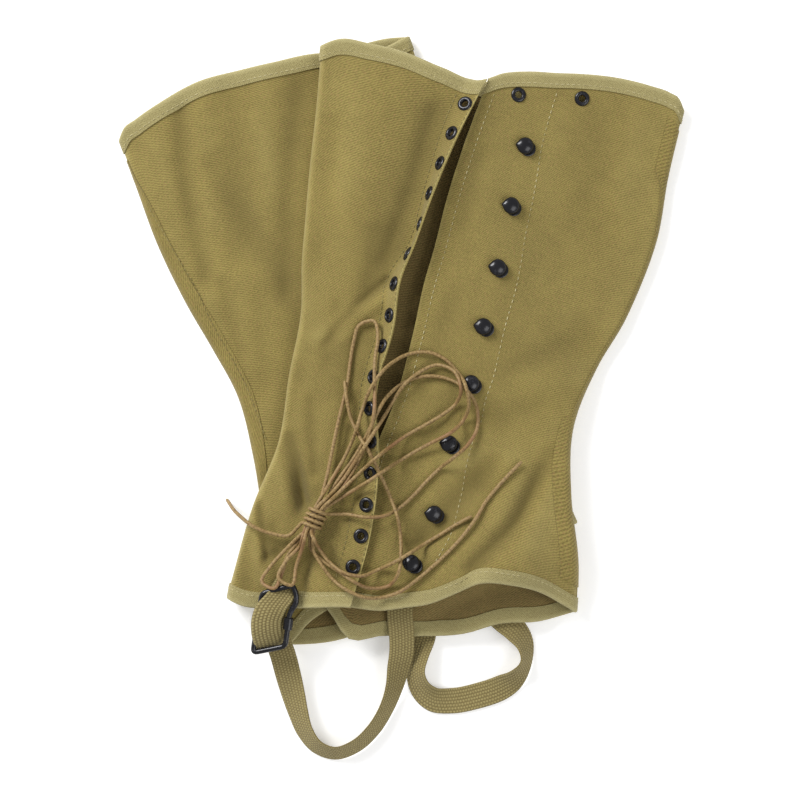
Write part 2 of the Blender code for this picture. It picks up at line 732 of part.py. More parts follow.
def on_facets(gaiter, places, rows, around, down_share):
    """The point and normal where a piece sits on a panel's flat facets."""
    shares = row_shares(rows)
    i = int(np.clip(np.searchsorted(places, around) - 1, 0, len(places) - 2))
    j = int(np.clip(np.searchsorted(shares, down_share) - 1, 0, rows - 1))
    corner_around = np.array([places[i], places[i + 1], places[i], places[i + 1]])
    corner_down = np.array([shares[j], shares[j], shares[j + 1], shares[j + 1]])
    a, b, c, d = gaiter.place(corner_around, corner_down)
    s = (around - places[i]) / (places[i + 1] - places[i])
    t = (down_share - shares[j]) / (shares[j + 1] - shares[j])
    point = (1 - t) * ((1 - s) * a + s * b) + t * ((1 - s) * c + s * d)
    normal = np.cross((1 - t) * (b - a) + t * (d - c), (1 - s) * (c - a) + s * (d - b))
    normal = normal / np.linalg.norm(normal)
    outward = gaiter.normal(np.array([around]), np.array([down_share]))[0]
    return point, normal if np.dot(normal, outward) > 0 else -normal


def pierce(panel_object, seats, radius):
    """Cuts a round hole through a panel at each seat."""
    holes = bmesh.new()
    for point, axes in seats:
        rows = np.eye(4)
        rows[:3, :3] = axes
        rows[:3, 3] = point
        bmesh.ops.create_cone(
            holes, cap_ends=True, segments=10, radius1=radius, radius2=radius, depth=5.0,
            matrix=Matrix(rows.tolist()),
        )
    mesh = bpy.data.meshes.new("holes")
    holes.to_mesh(mesh)
    holes.free()
    mesh.transform(((MM, 0, 0, 0), (0, MM, 0, 0), (0, 0, MM, 0), (0, 0, 0, 1)))
    cutter = bpy.data.objects.new(panel_object.name + "_holes", mesh)
    cutter.hide_render = True
    cutter.display_type = "WIRE"
    CUTTERS.objects.link(cutter)
    cut = panel_object.modifiers.new("Holes", "BOOLEAN")
    cut.operation = "DIFFERENCE"
    cut.object = cutter


def webbing(name, stops, count, surface):
    """A flat strap that turns and leans along its stops."""
    reach = np.array([0.0, *np.cumsum([math.dist(a[:3], b[:3]) for a, b in zip(stops, stops[1:])])])
    at = np.linspace(0, reach[-1], count + 1)
    x, y, z, heading, lean = (curve_through(reach, values, at) for values in zip(*stops))
    heading = np.radians(heading)
    lean = np.radians(lean)
    width = np.stack([np.cos(heading) * np.cos(lean), np.sin(heading) * np.cos(lean), np.sin(lean)], axis=-1)
    middle = np.stack([x, y, z], axis=-1)
    half = WEBBING_WIDTH / 2
    return sheet(name, np.stack([middle - half * width, middle + half * width]), WEBBING, surface)


def tube(name, points, thick, surface, cyclic=False):
    """A wire or cord through points, round in section."""
    line = bpy.data.curves.new(name, "CURVE")
    line.dimensions = "3D"
    line.bevel_depth = thick / 2 * MM
    line.bevel_resolution = 2
    line.use_fill_caps = not cyclic
    spline = line.splines.new("POLY")
    spline.points.add(len(points) - 1)
    for vertex, point in zip(spline.points, points):
        vertex.co = (*(np.asarray(point) * MM), 1.0)
    spline.use_cyclic_u = cyclic
    made = bpy.data.objects.new(name, line)
    line.materials.append(surface)
    PAIR.objects.link(made)
    return made


def buckle(name, corners, surface):
    """A bent wire frame with a roller on its long side."""
    corners = np.array(corners)
    points = []
    for k, corner in enumerate(corners):
        before = corners[k - 1] - corner
        after = corners[(k + 1) % 4] - corner
        points.append(corner + before / np.linalg.norm(before) * 2.4)
        points.append(corner + 0.25 * (before / np.linalg.norm(before) + after / np.linalg.norm(after)) * 2.4)
        points.append(corner + after / np.linalg.norm(after) * 2.4)
    tube(name + "_frame", points, BUCKLE_WIRE, surface, cyclic=True)
    start = corners[1] + (corners[2] - corners[1]) * ROLLER_SPAN[0]
    end = corners[1] + (corners[2] - corners[1]) * ROLLER_SPAN[1]
    inner = BUCKLE_WIRE / 2 + GAP
    length = np.linalg.norm(end - start)
    sleeve = screwed(
        name + "_roller",
        [(inner, length), (ROLLER_OUTER / 2, length), (ROLLER_OUTER / 2, 0.0), (inner, 0.0)],
        10,
    )
    seated(name + "_roller", sleeve, surface, start, frame_of(end - start))


def on_surface(pixel):
    """Millimetres for a point of the photograph's frame."""
    return ((pixel[0] - FRAME_MIDDLE[0]) * PIXEL, (FRAME_MIDDLE[1] - pixel[1]) * PIXEL)


def through_knot(bed, strand):
    """The stretch of a lace drawn through the knot, at its own place in the bundle."""
    middle = np.array(on_surface(KNOT))
    axis = np.array(KNOT_AXIS)
    aside = np.array([axis[1], -axis[0]])
    height = bed.knot_floor + LACE / 2 + KNOT_RADIUS + LEVEL * strand.level
    points = []
    for along in (-KNOT_REACH, 0.0, KNOT_REACH):
        plan = middle + aside * strand.aside + axis * along
        points.append((plan[0], plan[1], height))
    return points if strand.upwards else points[::-1]


class LaceBed:
    """The height that a lace lies at, over the cloth, the hooks and the laces already laid."""

    def __init__(self, gaiter):
        self.gaiter = gaiter
        self.hooks = [gaiter.world(across, down) for down, across in HOOK_ROW]
        self.hook_tops = [
            gaiter.roof(across, down) + WALL / 2 + HOOK_TALL + 0.4 for down, across in HOOK_ROW
        ]
        self.knot = np.array(on_surface(KNOT))
        self.knot_floor = float(self.cloth(self.knot[0], self.knot[1]))
        start, end = np.array(UPPER_BUCKLE[:2])
        self.laid = start + (end - start) * np.linspace(0, 1, 25)[:, None]
        self.laid[:, 2] += (BUCKLE_WIRE - LACE) / 2

    def cloth(self, x, y):
        """The top of the upper gaiter's cloth, and the slope off its side to the surface."""
        gaiter = self.gaiter
        across, down = gaiter.local(x, y)
        far = gaiter.row("far", down)
        inside = np.clip(across, far, gaiter.row("seam", down))
        height = gaiter.roof(inside, down) + WALL / 2 + LACE_OFF_CLOTH
        hem = column(gaiter.open_edge, "bottom", gaiter.share(inside, down)) - TAPE_WIDTH
        height = height + LACE_OVER_TAPE * ease((down - hem + 6.0) / 4.0)
        plan, rise = gaiter.turned_up(TURN_FLAT + TURN_BEND, down)
        edge, whole = gaiter.turned_up(0.0, down)
        off_edge = (gaiter.row("flap", down) - across) * gaiter.side
        share = np.where(off_edge > 0, 1 - off_edge / plan, 1 + off_edge / 12.0)
        height = height + np.clip(share, 0, 1) * whole
        on_flap = ease((off_edge + 9.0) / 8.0)
        height = height + on_flap * (self.gaiter.row("lap", down) + LACE_OVER_EYELETS * (off_edge < 16))
        beyond = np.maximum(far - across, 0.0)
        return np.maximum(height * (1 - ease(beyond / 20.0)), GAP)

    def need(self, x, y):
        """The least height of a lace's middle at a place."""
        height = float(self.cloth(x, y)) + LACE / 2
        for (hook_x, hook_y), top in zip(self.hooks, self.hook_tops):
            if math.hypot(x - hook_x, y - hook_y) < HOOK_CLEAR_REACH:
                height = max(height, float(top) + LACE / 2 + LACE_CLEAR)
        near = 1 - ease((math.hypot(x - self.knot[0], y - self.knot[1]) - 8.0) / 14.0)
        lifted = self.knot_floor + LACE / 2 + KNOT_RADIUS - LEVEL
        height = max(height, near * lifted + (1 - near) * height)
        apart = np.hypot(self.laid[:, 0] - x, self.laid[:, 1] - y)
        pile = LACE + LACE_CLEAR
        close = apart < pile
        if close.any():
            height = max(height, float((self.laid[close, 2] + np.sqrt(pile**2 - apart[close] ** 2)).max()))
        return height

    def lay(self, plan, fixed):
        """Lays a lace along plan points, each stretch clear of what it crosses. Fixed heights are kept."""
        heights = []
        for k, (x, y) in enumerate(plan):
            heights.append(fixed[k] if k in fixed else self.need(x, y))
            if k >= 3:
                self.settle(plan, heights, fixed, k - 2)
            if k == 0 or (k in fixed and k - 1 in fixed):
                continue
            first = NEAR_KNOT if k - 1 in fixed else 0.1
            last = 1 - NEAR_KNOT if k in fixed else 0.9
            for t in np.linspace(first, last, 9):
                before = plan[k - 1]
                spot = (before[0] + (x - before[0]) * t, before[1] + (y - before[1]) * t)
                short = self.need(*spot) - ((1 - t) * heights[k - 1] + t * heights[k])
                if short <= 0:
                    continue
                before_share = 0 if k - 1 in fixed else 1 - t
                after_share = 0 if k in fixed else t
                spread = before_share**2 + after_share**2
                heights[k - 1] += short * before_share / spread
                heights[k] += short * after_share / spread
        for k in (len(plan) - 2, len(plan) - 1):
            self.settle(plan, heights, fixed, k)
        return [(x, y, z) for (x, y), z in zip(plan, heights)]

    def settle(self, plan, heights, fixed, k):
        """Makes the stretch that ends at a point something for later stretches to lie on."""
        if k in fixed and k - 1 in fixed:
            return
        before = np.array([*plan[k - 1], heights[k - 1]])
        after = np.array([*plan[k], heights[k]])
        shares = np.linspace(0, 1, 13)[:, None]
        self.laid = np.vstack([self.laid, before + (after - before) * shares])


def spaced(points, step):
    """Points a step apart along a smooth curve through a route's points."""
    points = np.array(points, float)
    reach = np.array([0.0, *np.cumsum(np.linalg.norm(np.diff(points, axis=0), axis=1))])
    fine = np.linspace(0, reach[-1], int(reach[-1] * 2))
    curve = np.stack([curve_through(reach, points[:, 0], fine), curve_through(reach, points[:, 1], fine)], axis=1)
    length = np.array([0.0, *np.cumsum(np.linalg.norm(np.diff(curve, axis=0), axis=1))])
    at = np.linspace(0, length[-1], max(int(round(length[-1] / step)), 2) + 1)
    return np.stack([np.interp(at, length, curve[:, 0]), np.interp(at, length, curve[:, 1])], axis=1)


def knot_turns(bed):
    """The winding turns, rising from the cloth at one side and coming down at the other."""
    middle = np.array(on_surface(KNOT))
    axis = np.array(KNOT_AXIS)
    aside = np.array([axis[1], -axis[0]])
    height = bed.knot_floor + LACE / 2 + KNOT_RADIUS
    turns = []
    for t in np.linspace(0, 1, KNOT_POINTS):
        angle = math.radians(180 + KNOT_TURN * t)
        along = KNOT_HALF * (2 * t - 1)
        plan = middle + axis * along + aside * KNOT_RADIUS * math.cos(angle)
        turns.append((plan[0], plan[1], height + KNOT_RADIUS * math.sin(angle)))
    return turns


def bundled(bed, stretches):
    """Lays a lace whose free stretches, in pixels, alternate with those held in the knot."""
    plan = []
    fixed = {}
    for k, stretch in enumerate(stretches):
        if k % 2:
            for x, y, z in stretch:
                fixed[len(plan)] = z
                plan.append((x, y))
            continue
        before = [stretches[k - 1][-1][:2]] if k else []
        after = [stretches[k + 1][0][:2]] if k + 1 < len(stretches) else []
        points = spaced([*before, *[on_surface(pixel) for pixel in stretch], *after], LACE_STEP)
        if k:
            points = np.insert(points, 1, (points[0] + points[1]) / 2, axis=0)
        if after:
            points = np.insert(points, -1, (points[-1] + points[-2]) / 2, axis=0)
        plan += [tuple(point) for point in points[len(before):len(points) - len(after)]]
    return bed.lay(plan, fixed)


def laces(gaiter, surface):
    """Two laces, each bundled through the knot with both ends free."""
    bed = LaceBed(gaiter)
    held = [through_knot(bed, strand) for strand in PASSES_ONE]
    route = [TAIL_LEFT, knot_turns(bed), LOOP_RIGHT, held[0], LOOP_LOW, held[1], LOOP_TALL, held[2], TAIL_BACK]
    tube("lace_1", bundled(bed, route), LACE, surface)
    held = [through_knot(bed, strand) for strand in PASSES_TWO]
    route = [TAIL_LONG, held[0], LOOP_WIDE, held[1], LOOP_LOW_INNER, held[2], LOOP_SHORT, held[3], TAIL_SHORT]
    tube("lace_2", bundled(bed, route), LACE, surface)


def materials():
    """The pair's finishes."""
    return {
        "canvas": material("canvas", (0.27, 0.22, 0.08), 0.9),
        "tape": material("tape", (0.33, 0.29, 0.13), 0.9),
        "webbing": material("webbing", (0.30, 0.26, 0.11), 0.85),
        "hardware": material("black_metal", (0.02, 0.02, 0.025), 0.4, 0.6),
        "lace": material("lace", (0.30, 0.20, 0.08), 0.6),
    }


def gaiters():
    """The lower gaiter lies face down on the surface, and the upper one crosses it."""
    lower = Gaiter(
        "lower", (-80.1, 178.8), -18.9, -1, False, LOWER_SECTIONS, LOWER_OPEN_EDGE, LOWER_CLOSED_EDGE
    )
    lower.folds = LOWER_FOLDS
    lower.bumps = LOWER_BUMPS
    upper = Gaiter("upper", (60.9, 193.2), 10.5, 1, True, UPPER_SECTIONS, UPPER_OPEN_EDGE, UPPER_CLOSED_EDGE)
    upper.folds = UPPER_FOLDS
    upper.bumps = UPPER_BUMPS
    upper.under = lower
    return lower, upper


UPPER_EYELET_PLACES = steps((0, 0.4, 4), (0.4, 1, 4), (1, 2, 3), (2, 3, 12), (3, 3.6, 2))
UPPER_HOOK_PLACES = steps((3.67, 4, 2), (4, 5, 8))
LOWER_EYELET_PLACES = steps((0.0, 1, 4), (1, 2, 3), (2, 3, 10), (3, 3.4, 2))
LOWER_HOOK_PLACES = steps((3.47, 4, 2), (4, 5, 4))
UPPER_ROWS = 20
LOWER_ROWS = 14


def build():
    finish = materials()
    lower, upper = gaiters()
    for gaiter, eyelet_side, hook_side, rows in (
        (lower, LOWER_EYELET_PLACES, LOWER_HOOK_PLACES, LOWER_ROWS),
        (upper, UPPER_EYELET_PLACES, UPPER_HOOK_PLACES, UPPER_ROWS),
    ):
        name = gaiter.name
        eyelet_panel = panel(gaiter, name + "_eyelet_panel", eyelet_side, rows, finish["canvas"])
        hook_panel = panel(gaiter, name + "_hook_panel", hook_side, rows, finish["canvas"])
        seam_strip(gaiter, name + "_seam_strip", finish["canvas"], rows)
        both = np.concatenate([eyelet_side, hook_side])
        binding(gaiter, name + "_top_binding", both, True, finish["tape"])
        binding(gaiter, name + "_hem_binding", both, False, finish["tape"])
        if gaiter.open_up:
            fastenings(gaiter, eyelet_panel, hook_panel, finish["hardware"])
    webbing("upper_strap", UPPER_STRAP, 48, finish["webbing"])
    webbing("lower_strap", LOWER_STRAP, 34, finish["webbing"])
    buckle("upper_buckle", UPPER_BUCKLE, finish["hardware"])
    buckle("lower_buckle", LOWER_BUCKLE, finish["hardware"])
    laces(upper, finish["lace"])


def fastenings(gaiter, eyelet_panel, hook_panel, surface):
    """Hooks and eyelets, each seated on its panel's facets."""
    hook = hook_mesh()
    eyelet = eyelet_mesh()
    toward = (-0.5, 0.86, 0.0)
    for k, (down, across) in enumerate(HOOK_ROW):
        around = gaiter.around_of_hook(across, down)
        share = gaiter.down_share_of(around, down)
        point, normal = on_facets(gaiter, UPPER_HOOK_PLACES, UPPER_ROWS, around, share)
        seated(f"hook_{k + 1}", hook, surface, point, frame_of(normal, toward))
    seats = []
    for k, (down, across) in enumerate(TOP_EYELETS):
        around = gaiter.around_of_hook(across, down)
        share = gaiter.down_share_of(around, down)
        point, normal = on_facets(gaiter, UPPER_HOOK_PLACES, UPPER_ROWS, around, share)
        axes = frame_of(normal)
        seats.append((point, axes))
        seated(f"top_eyelet_{k + 1}", eyelet, surface, point, axes)
    pierce(hook_panel, seats, EYELET_HOLE / 2 + EYELET_CLEAR)
    seats = []
    around = FLAP_EYELET_INSET / (TURN_FLAT + TURN_BEND) * TURN_SHARE
    for k in range(FLAP_EYELET_COUNT):
        share = gaiter.down_share_of(around, FLAP_EYELET_FIRST + k * FLAP_EYELET_PITCH)
        point, normal = on_facets(gaiter, UPPER_EYELET_PLACES, UPPER_ROWS, around, share)
        axes = frame_of(normal)
        seats.append((point, axes))
        seated(f"eyelet_{k + 1}", eyelet, surface, point, axes)
    pierce(eyelet_panel, seats, EYELET_HOLE / 2 + EYELET_CLEAR)


for startup_object in list(bpy.data.objects):
    bpy.data.objects.remove(startup_object)
PAIR = bpy.data.collections.new("canvas_gaiters")
CUTTERS = bpy.data.collections.new("cutters")
bpy.context.scene.collection.children.link(PAIR)
bpy.context.scene.collection.children.link(CUTTERS)
build()
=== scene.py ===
"""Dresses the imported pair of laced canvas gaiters, seen from straight above.

Each gaiter is a tube of canvas laid flat: a wide eyelet panel and a narrow hook panel, with
tape over the top and the hem, a webbing strap with a buckle, and stitching. Two laces lie
bundled on the upper gaiter. Tables are in millimetres. The surfaces and routes are those of
the solids, or close to them. Across and down are measured on each gaiter from the middle of
its top edge.
"""

import logging
import math
from dataclasses import dataclass, field
from enum import Enum
from typing import Any, NamedTuple, Sequence, Union

import bmesh
import bpy
import numpy as np
from mathutils import Matrix, Vector

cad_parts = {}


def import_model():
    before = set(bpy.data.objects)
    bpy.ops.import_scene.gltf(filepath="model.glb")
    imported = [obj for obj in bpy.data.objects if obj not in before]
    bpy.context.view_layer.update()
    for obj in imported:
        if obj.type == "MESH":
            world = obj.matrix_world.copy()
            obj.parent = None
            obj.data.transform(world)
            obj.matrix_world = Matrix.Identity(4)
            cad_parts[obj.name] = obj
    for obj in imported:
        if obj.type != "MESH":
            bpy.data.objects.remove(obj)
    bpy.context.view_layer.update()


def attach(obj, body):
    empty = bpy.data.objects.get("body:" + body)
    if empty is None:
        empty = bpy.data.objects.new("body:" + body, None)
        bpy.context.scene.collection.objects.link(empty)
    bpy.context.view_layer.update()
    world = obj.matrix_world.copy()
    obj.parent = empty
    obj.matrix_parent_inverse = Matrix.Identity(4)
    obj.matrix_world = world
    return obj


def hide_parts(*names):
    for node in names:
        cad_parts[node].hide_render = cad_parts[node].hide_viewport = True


MM = 0.001
LOG = logging.getLogger("gaiters")
Array = np.ndarray
Colour = tuple[float, float, float]
Point = tuple[float, float, float]
Seat = tuple[Array, Array]
WHITE = (1.0, 1.0, 1.0, 1.0)
SRGB_TOE = 0.04045

# Thicknesses and clearances of the solids that the pieces stand for
WALL = 1.2
TAPE = 0.8
TAPE_WIDTH = 8.0
GAP = 0.3
TAPE_SEAT = 0.1
WEBBING = 1.6
WEBBING_WIDTH = 15.6
BUCKLE_WIRE = 3.4
LACE = 2.2
LACE_CLEAR = 0.3
SURFACE_GAP = 0.03

# The turned up edge of the eyelet panel: a straight strip and the bend at its foot
TURN_FLAT = 9.5
TURN_BEND = 5.0
TURN_SHARE = 0.4
LAP_FADE = 3.6

# Hooks and eyelets
HOOK_CAP = 11.0
HOOK_BASE = 9.5
HOOK_TALL = 5.0
EYELET_OUTER = 9.0
EYELET_HOLE = 4.2

NOMINAL_LENGTH = 320.0
TAPE_STEP = 1.5
STEP_RUN = 10.0
TROUGH_DEPTH = 1.5
BED_CLEARANCE = 2.0
HEM_BOW = 7.0
FOLD_STEEP = 6.0

# How a place on the surface is worked out: rounds that settle how far down it is, halvings
# that find a share of the length, and the step that a slope is measured over
PLACE_ROUNDS = 4
HALVINGS = 22
SLOPE = 1e-3
BED_RUN = 38.0
SOFT_BED_RUN = 60.0


class Section(NamedTuple):
    """One row of a gaiter's shape, at a distance down."""

    down: float
    far: float
    seam: float
    flap: float
    hook: float
    far_gap: float
    seam_gap: float
    crown: float
    turn_up: float
    lap: float
    strip: float


class Edge(NamedTuple):
    """How far down a layer's top edge and hem lie, at a share of the width."""

    share: float
    top: float
    bottom: float


class Fold(NamedTuple):
    """A soft trough or ridge from one place to another."""

    across: float
    down: float
    to_across: float
    to_down: float
    height: float
    width: float


class Bump(NamedTuple):
    """A soft swell of the cloth."""

    across: float
    down: float
    height: float
    across_reach: float
    down_reach: float


class Stop(NamedTuple):
    """A place along the middle of a strap, the compass of its width and its lean."""

    x: float
    y: float
    z: float
    heading: float
    lean: float


class Crease(NamedTuple):
    """A soft trough or ridge between two points of the photograph's frame."""

    x: float
    y: float
    to_x: float
    to_y: float
    height: float
    width: float


class Prop(NamedTuple):
    """What lifts the upper gaiter's hem at one place."""

    x: float
    y: float
    height: float
    reach: float
    run: float


class Pass(NamedTuple):
    """A strand drawn through the knot: how far aside, its level and its direction."""

    aside: float
    level: float
    upwards: bool


UPPER_SECTIONS = [
    Section(0, -110, 110, -8.2, -7.8, 6, 6, 4, 6, 0, 5),
    Section(40, -106, 108, -20, -15, 6, 6, 3, 45, 0, 5),
    Section(80, -103, 108, -29, -20, 6, 6, 3, 74, 0, 3),
    Section(110, -100, 103, -34, -22, 6, 6, 3, 84, 0, 3),
    Section(130, -98, 98, -38, -24, 6, 6, 3, 62, 0, 3),
    Section(160, -93, 87, -37, -25, 6, 6, 3, 54, 0, 3),
    Section(200, -93, 79, -40, -28, 6, 6, 3, 50, 0, 4),
    Section(240, -92, 85, -31, -36, 6, 7, 3, 34, 2.4, 9),
    Section(280, -100, 97, -28, -40, 6, 9, 4, 6, 3.4, 9),
    Section(330, -105, 104, -32, -44, 6, 10, 4, 4, 5.2, 9),
]
UPPER_OPEN_EDGE = [
    Edge(0.0, 3, 337),
    Edge(0.04, -2, 339),
    Edge(0.13, -3, 337),
    Edge(0.22, -2, 333),
    Edge(0.33, 3, 328),
    Edge(0.44, 6, 326),
    Edge(0.5, -1, 322),
    Edge(0.57, -5, 317),
    Edge(0.64, -7, 308),
    Edge(0.7, -9, 300),
    Edge(0.8, -11, 297),
    Edge(0.9, -10, 299),
    Edge(0.96, -8, 303.5),
    Edge(0.985, -5.5, 305.5),
    Edge(1.0, 0, 307),
]
UPPER_CLOSED_EDGE = [
    Edge(0.0, 3, 337),
    Edge(0.12, 2, 335),
    Edge(0.28, 4, 331),
    Edge(0.36, 5, 347),
    Edge(0.45, 5, 342),
    Edge(0.56, 2, 338),
    Edge(0.68, -2, 332),
    Edge(0.78, -4, 322),
    Edge(0.9, -5, 316),
    Edge(1.0, 0, 307),
]
UPPER_FOLDS = [
    Fold(-88, 232, -70, 282, -2.5, 5),
    Fold(-104, 262, -100, 320, 1.5, 8),
    Fold(-45, 100, -62, 196, -2.0, 9),
    Fold(-34, 130, -82, 176, 1.8, 6),
    Fold(6, 232, 52, 226, 2.0, 10),
    Fold(40, 225, -4, 292, -3.5, 8),
    Fold(-30, 20, -60, 110, -1.5, 12),
]
UPPER_BUMPS = [
    Bump(52, 292, 9.0, 34, 24),
    Bump(40, 262, 3.0, 26, 20),
    Bump(-70, 60, 1.5, 30, 60),
]
LOWER_SECTIONS = [
    Section(-15, 92, -92, 26, 25.7, 5.2, 5.2, 4.5, 0, 0, 1),
    Section(20, 92, -91, 26, 24.6, 5.2, 5.2, 3.2, 0, 0, 2.2),
    Section(60, 91, -90, 22, 20.6, 5.2, 5.2, 2, 0, 0, 7),
    Section(100, 89, -85, 18, 16.6, 5.2, 5.2, 2, 0, 0, 9.5),
    Section(130, 87, -79, 13, 11.6, 5.2, 5.2, 2, 0, 0, 10.5),
    Section(160, 86, -74, 10, 8.6, 5.2, 5.2, 2, 0, 0, 10),
    Section(200, 85, -77, 8, 6.6, 5.2, 5.2, 2, 0, 0, 9.5),
    Section(240, 87, -84, 7, 5.6, 5.2, 5.6, 2, 0, 0, 6),
    Section(280, 91, -90, 7, 5.6, 5.4, 6.2, 2, 0, 0, 7),
    Section(320, 95, -95, 7, 5.6, 6, 7, 2, 0, 0, 7),
]
LOWER_OPEN_EDGE = [
    Edge(0.0, -9, 299),
    Edge(0.06, -12, 300),
    Edge(0.17, -14, 304),
    Edge(0.3, -16, 308),
    Edge(0.5, -20, 313),
    Edge(0.7, -22, 318),
    Edge(0.85, -18, 319),
    Edge(0.95, -12.5, 315),
    Edge(0.985, -10, 313),
    Edge(1.0, -6.5, 312),
]
LOWER_CLOSED_EDGE = [
    Edge(0.0, -9, 299),
    Edge(0.15, -7, 297),
    Edge(0.22, -12, 296),
    Edge(0.3, -16.5, 296),
    Edge(0.45, -20, 297),
    Edge(0.55, -21.8, 298),
    Edge(0.7, -23.5, 297),
    Edge(0.84, -19, 299),
    Edge(0.93, -14.5, 304),
    Edge(0.98, -11, 310),
    Edge(1.0, -6.5, 312),
]
LOWER_FOLDS = [
    Fold(-46, 20, -28, 95, -1.6, 8),
    Fold(-28, 95, -22, 160, -1.2, 9),
    Fold(-20, -5, -2, 70, 1.0, 10),
]
LOWER_BUMPS = [Bump(-50, 60, 1.0, 30, 50)]

# Fastenings on the upper gaiter
HOOK_ROW = [(39, 21), (76, 19), (114, 18), (150, 16), (185, 15), (223, 9), (265, 7), (297, 0)]
TOP_EYELETS = [(9, 11), (4, 49)]
FLAP_EYELET_FIRST = 21.0
FLAP_EYELET_PITCH = 18.9
FLAP_EYELET_COUNT = 16
FLAP_EYELET_INSET = 5.4

# Straps, as stops along the middle of the webbing: place, height, the compass of its
# width and its lean, in degrees
UPPER_STRAP = [
    Stop(0, -116, 16.6, 0, 0),
    Stop(-1, -128, 17.6, 0, -2),
    Stop(0, -140, 14.6, -2, -10),
    Stop(0, -152, 12.0, -8, -18),
    Stop(-2, -162, 9.8, -12, -32),
    Stop(-4, -172, 8.2, -16, -46),
    Stop(-9, -186, 7.4, -26, -55),
    Stop(-17, -199, 7.4, -40, -56),
    Stop(-28, -209, 7.4, -60, -56),
    Stop(-40, -213, 7.4, -90, -56),
    Stop(-51, -209, 7.2, -126, -54),
    Stop(-58, -200, 7.0, -150, -48),
    Stop(-62, -189, 6.4, -162, -38),
    Stop(-65, -178, 6.2, -166, -24),
    Stop(-68, -166, 8.4, -166, -9),
    Stop(-71, -154, 12.2, -167, 0),
    Stop(-74.5, -143, 15.4, -168, -3),
    Stop(-76.5, -132, 20.6, -170, -6),
    Stop(-75.5, -124.5, 23.0, -176, -4),
    Stop(-72.5, -117.5, 24.6, -190, 0),
    Stop(-69.5, -112.6, 25.2, -205, 0),
    Stop(-68.2, -110.9, 26.2, -208, 0),
    Stop(-69.6, -113.6, 27.2, -212, 2),
    Stop(-72.6, -118.0, 29.0, -210, 4),
    Stop(-77.4, -124.0, 30.6, -199, 4),
    Stop(-80.4, -131.4, 29.8, -184, 4),
    Stop(-80.6, -138.6, 27.2, -173, 5),
    Stop(-79.5, -144.4, 23.2, -167, 4),
    Stop(-78.6, -148.6, 18.0, -166, 0),
]
LOWER_STRAP = [
    Stop(18, -104, 5.3, 0, 0),
    Stop(17, -114, 5.4, 0, 0),
    Stop(15.5, -125, 5.2, -2, 0),
    Stop(14.5, -134, 3.4, -8, 5),
    Stop(13, -143, 3.4, -14, 12),
    Stop(10, -154, 5.8, -12, 36),
    Stop(8.5, -165, 6.8, 4, 45),
    Stop(11.5, -174.5, 5.6, 36, 34),
    Stop(19, -181, 3.4, 70, 14),
    Stop(30, -182, 1.6, 92, 2),
    Stop(46, -179, 1.4, 102, 0),
    Stop(60, -174, 2.8, 116, 10),
    Stop(69.5, -167.5, 6.4, 136, 42),
    Stop(75, -158, 8.0, 166, 62),
    Stop(74.5, -148, 7.2, 200, 48),
    Stop(69, -139.5, 7.4, 222, 22),
    Stop(61, -132.5, 7.3, 230, 4),
    Stop(54, -126.5, 7.1, 230, 0),
    Stop(47, -120.5, 6.2, 230, 0),
]
# What props the upper gaiter's hem: the other strap's ends and its buckle
PROPS = [Prop(16, -136, 7.2, 12, 20), Prop(56, -125, 8.6, 19, 24)]

# Buckle frames: corners in order, with the height of each, the roller's stretch of a side,
# and how much of the upper strap's end is folded back over its buckle
UPPER_BUCKLE = [
    (-83.0, -115.6, 27.9), (-64.6, -110.6, 30.1), (-62.4, -117.0, 29.4), (-62.7, -121.6, 28.6),
    (-66.6, -127.4, 27.4), (-69.4, -147.4, 23.8), (-88.8, -151.6, 20.0),
]
LOWER_BUCKLE = [(52.4, -107.8, 2.1), (66.0, -119.4, 3.1), (51.6, -136.2, 3.1), (38.0, -124.6, 2.1)]
UPPER_ROLLER = (0.14, 0.5)
LOWER_ROLLER = (0.42, 0.74)
UPPER_FOLDED_BACK = 36.0
CORNER_ROUND = 3.0
CORNER_SHARE = 0.42
ROLLER_OUTER = 5.6

# Lace routes, in pixels of the photograph's frame, turned into millimetres below
PIXEL = 0.6
FRAME_MIDDLE = (401.5, 399.0)
TAIL_LEFT = [(226, 500), (238, 513), (250, 523), (265, 530), (281, 534), (292, 533.5), (299, 530)]
LOOP_RIGHT = [
    (345, 513), (360, 515), (378, 516), (395, 510), (410, 498), (426, 481), (445, 463), (464, 448),
    (475, 433), (478, 417), (473, 401), (463, 387), (447, 379), (430, 376), (410, 380), (395, 389),
    (384, 401), (375, 418), (366, 437), (352, 461), (334, 486),
]
LOOP_TALL = [
    (325, 486), (333, 449), (340, 416), (347, 387), (351, 359), (355, 338), (360, 325), (369, 318),
    (377, 326), (378, 341), (375, 360), (375, 385), (375, 405), (373, 422), (367, 442), (357, 464),
    (342, 488),
]
LOOP_WIDE = [
    (346, 494), (363, 484), (384, 470), (407, 456), (426, 445), (449, 433), (463, 420), (468, 407),
    (467, 393), (461, 379), (451, 365), (437, 355), (422, 352), (407, 355), (391, 364), (380, 375),
    (372, 387), (366, 400), (359, 422), (349, 449), (335, 474),
]
LOOP_SHORT = [
    (338, 486), (356, 460), (369, 440), (379, 425), (390, 407), (398, 393), (406, 383), (417, 374),
    (430, 367), (443, 365), (453, 371), (459, 381), (460, 392), (456, 403), (447, 411), (430, 422),
    (410, 433), (392, 445), (372, 461), (357, 475), (341, 490),
]
LOOP_LOW = [
    (302, 538), (292, 549), (285, 562), (282, 576), (276, 586), (268, 588), (263, 582), (266, 573),
    (275, 561), (288, 547), (299, 536),
]
LOOP_LOW_INNER = [
    (303, 542), (293, 552), (285, 563), (280, 575), (282, 584), (289, 586), (295, 579), (297, 565),
    (301, 551), (307, 538),
]
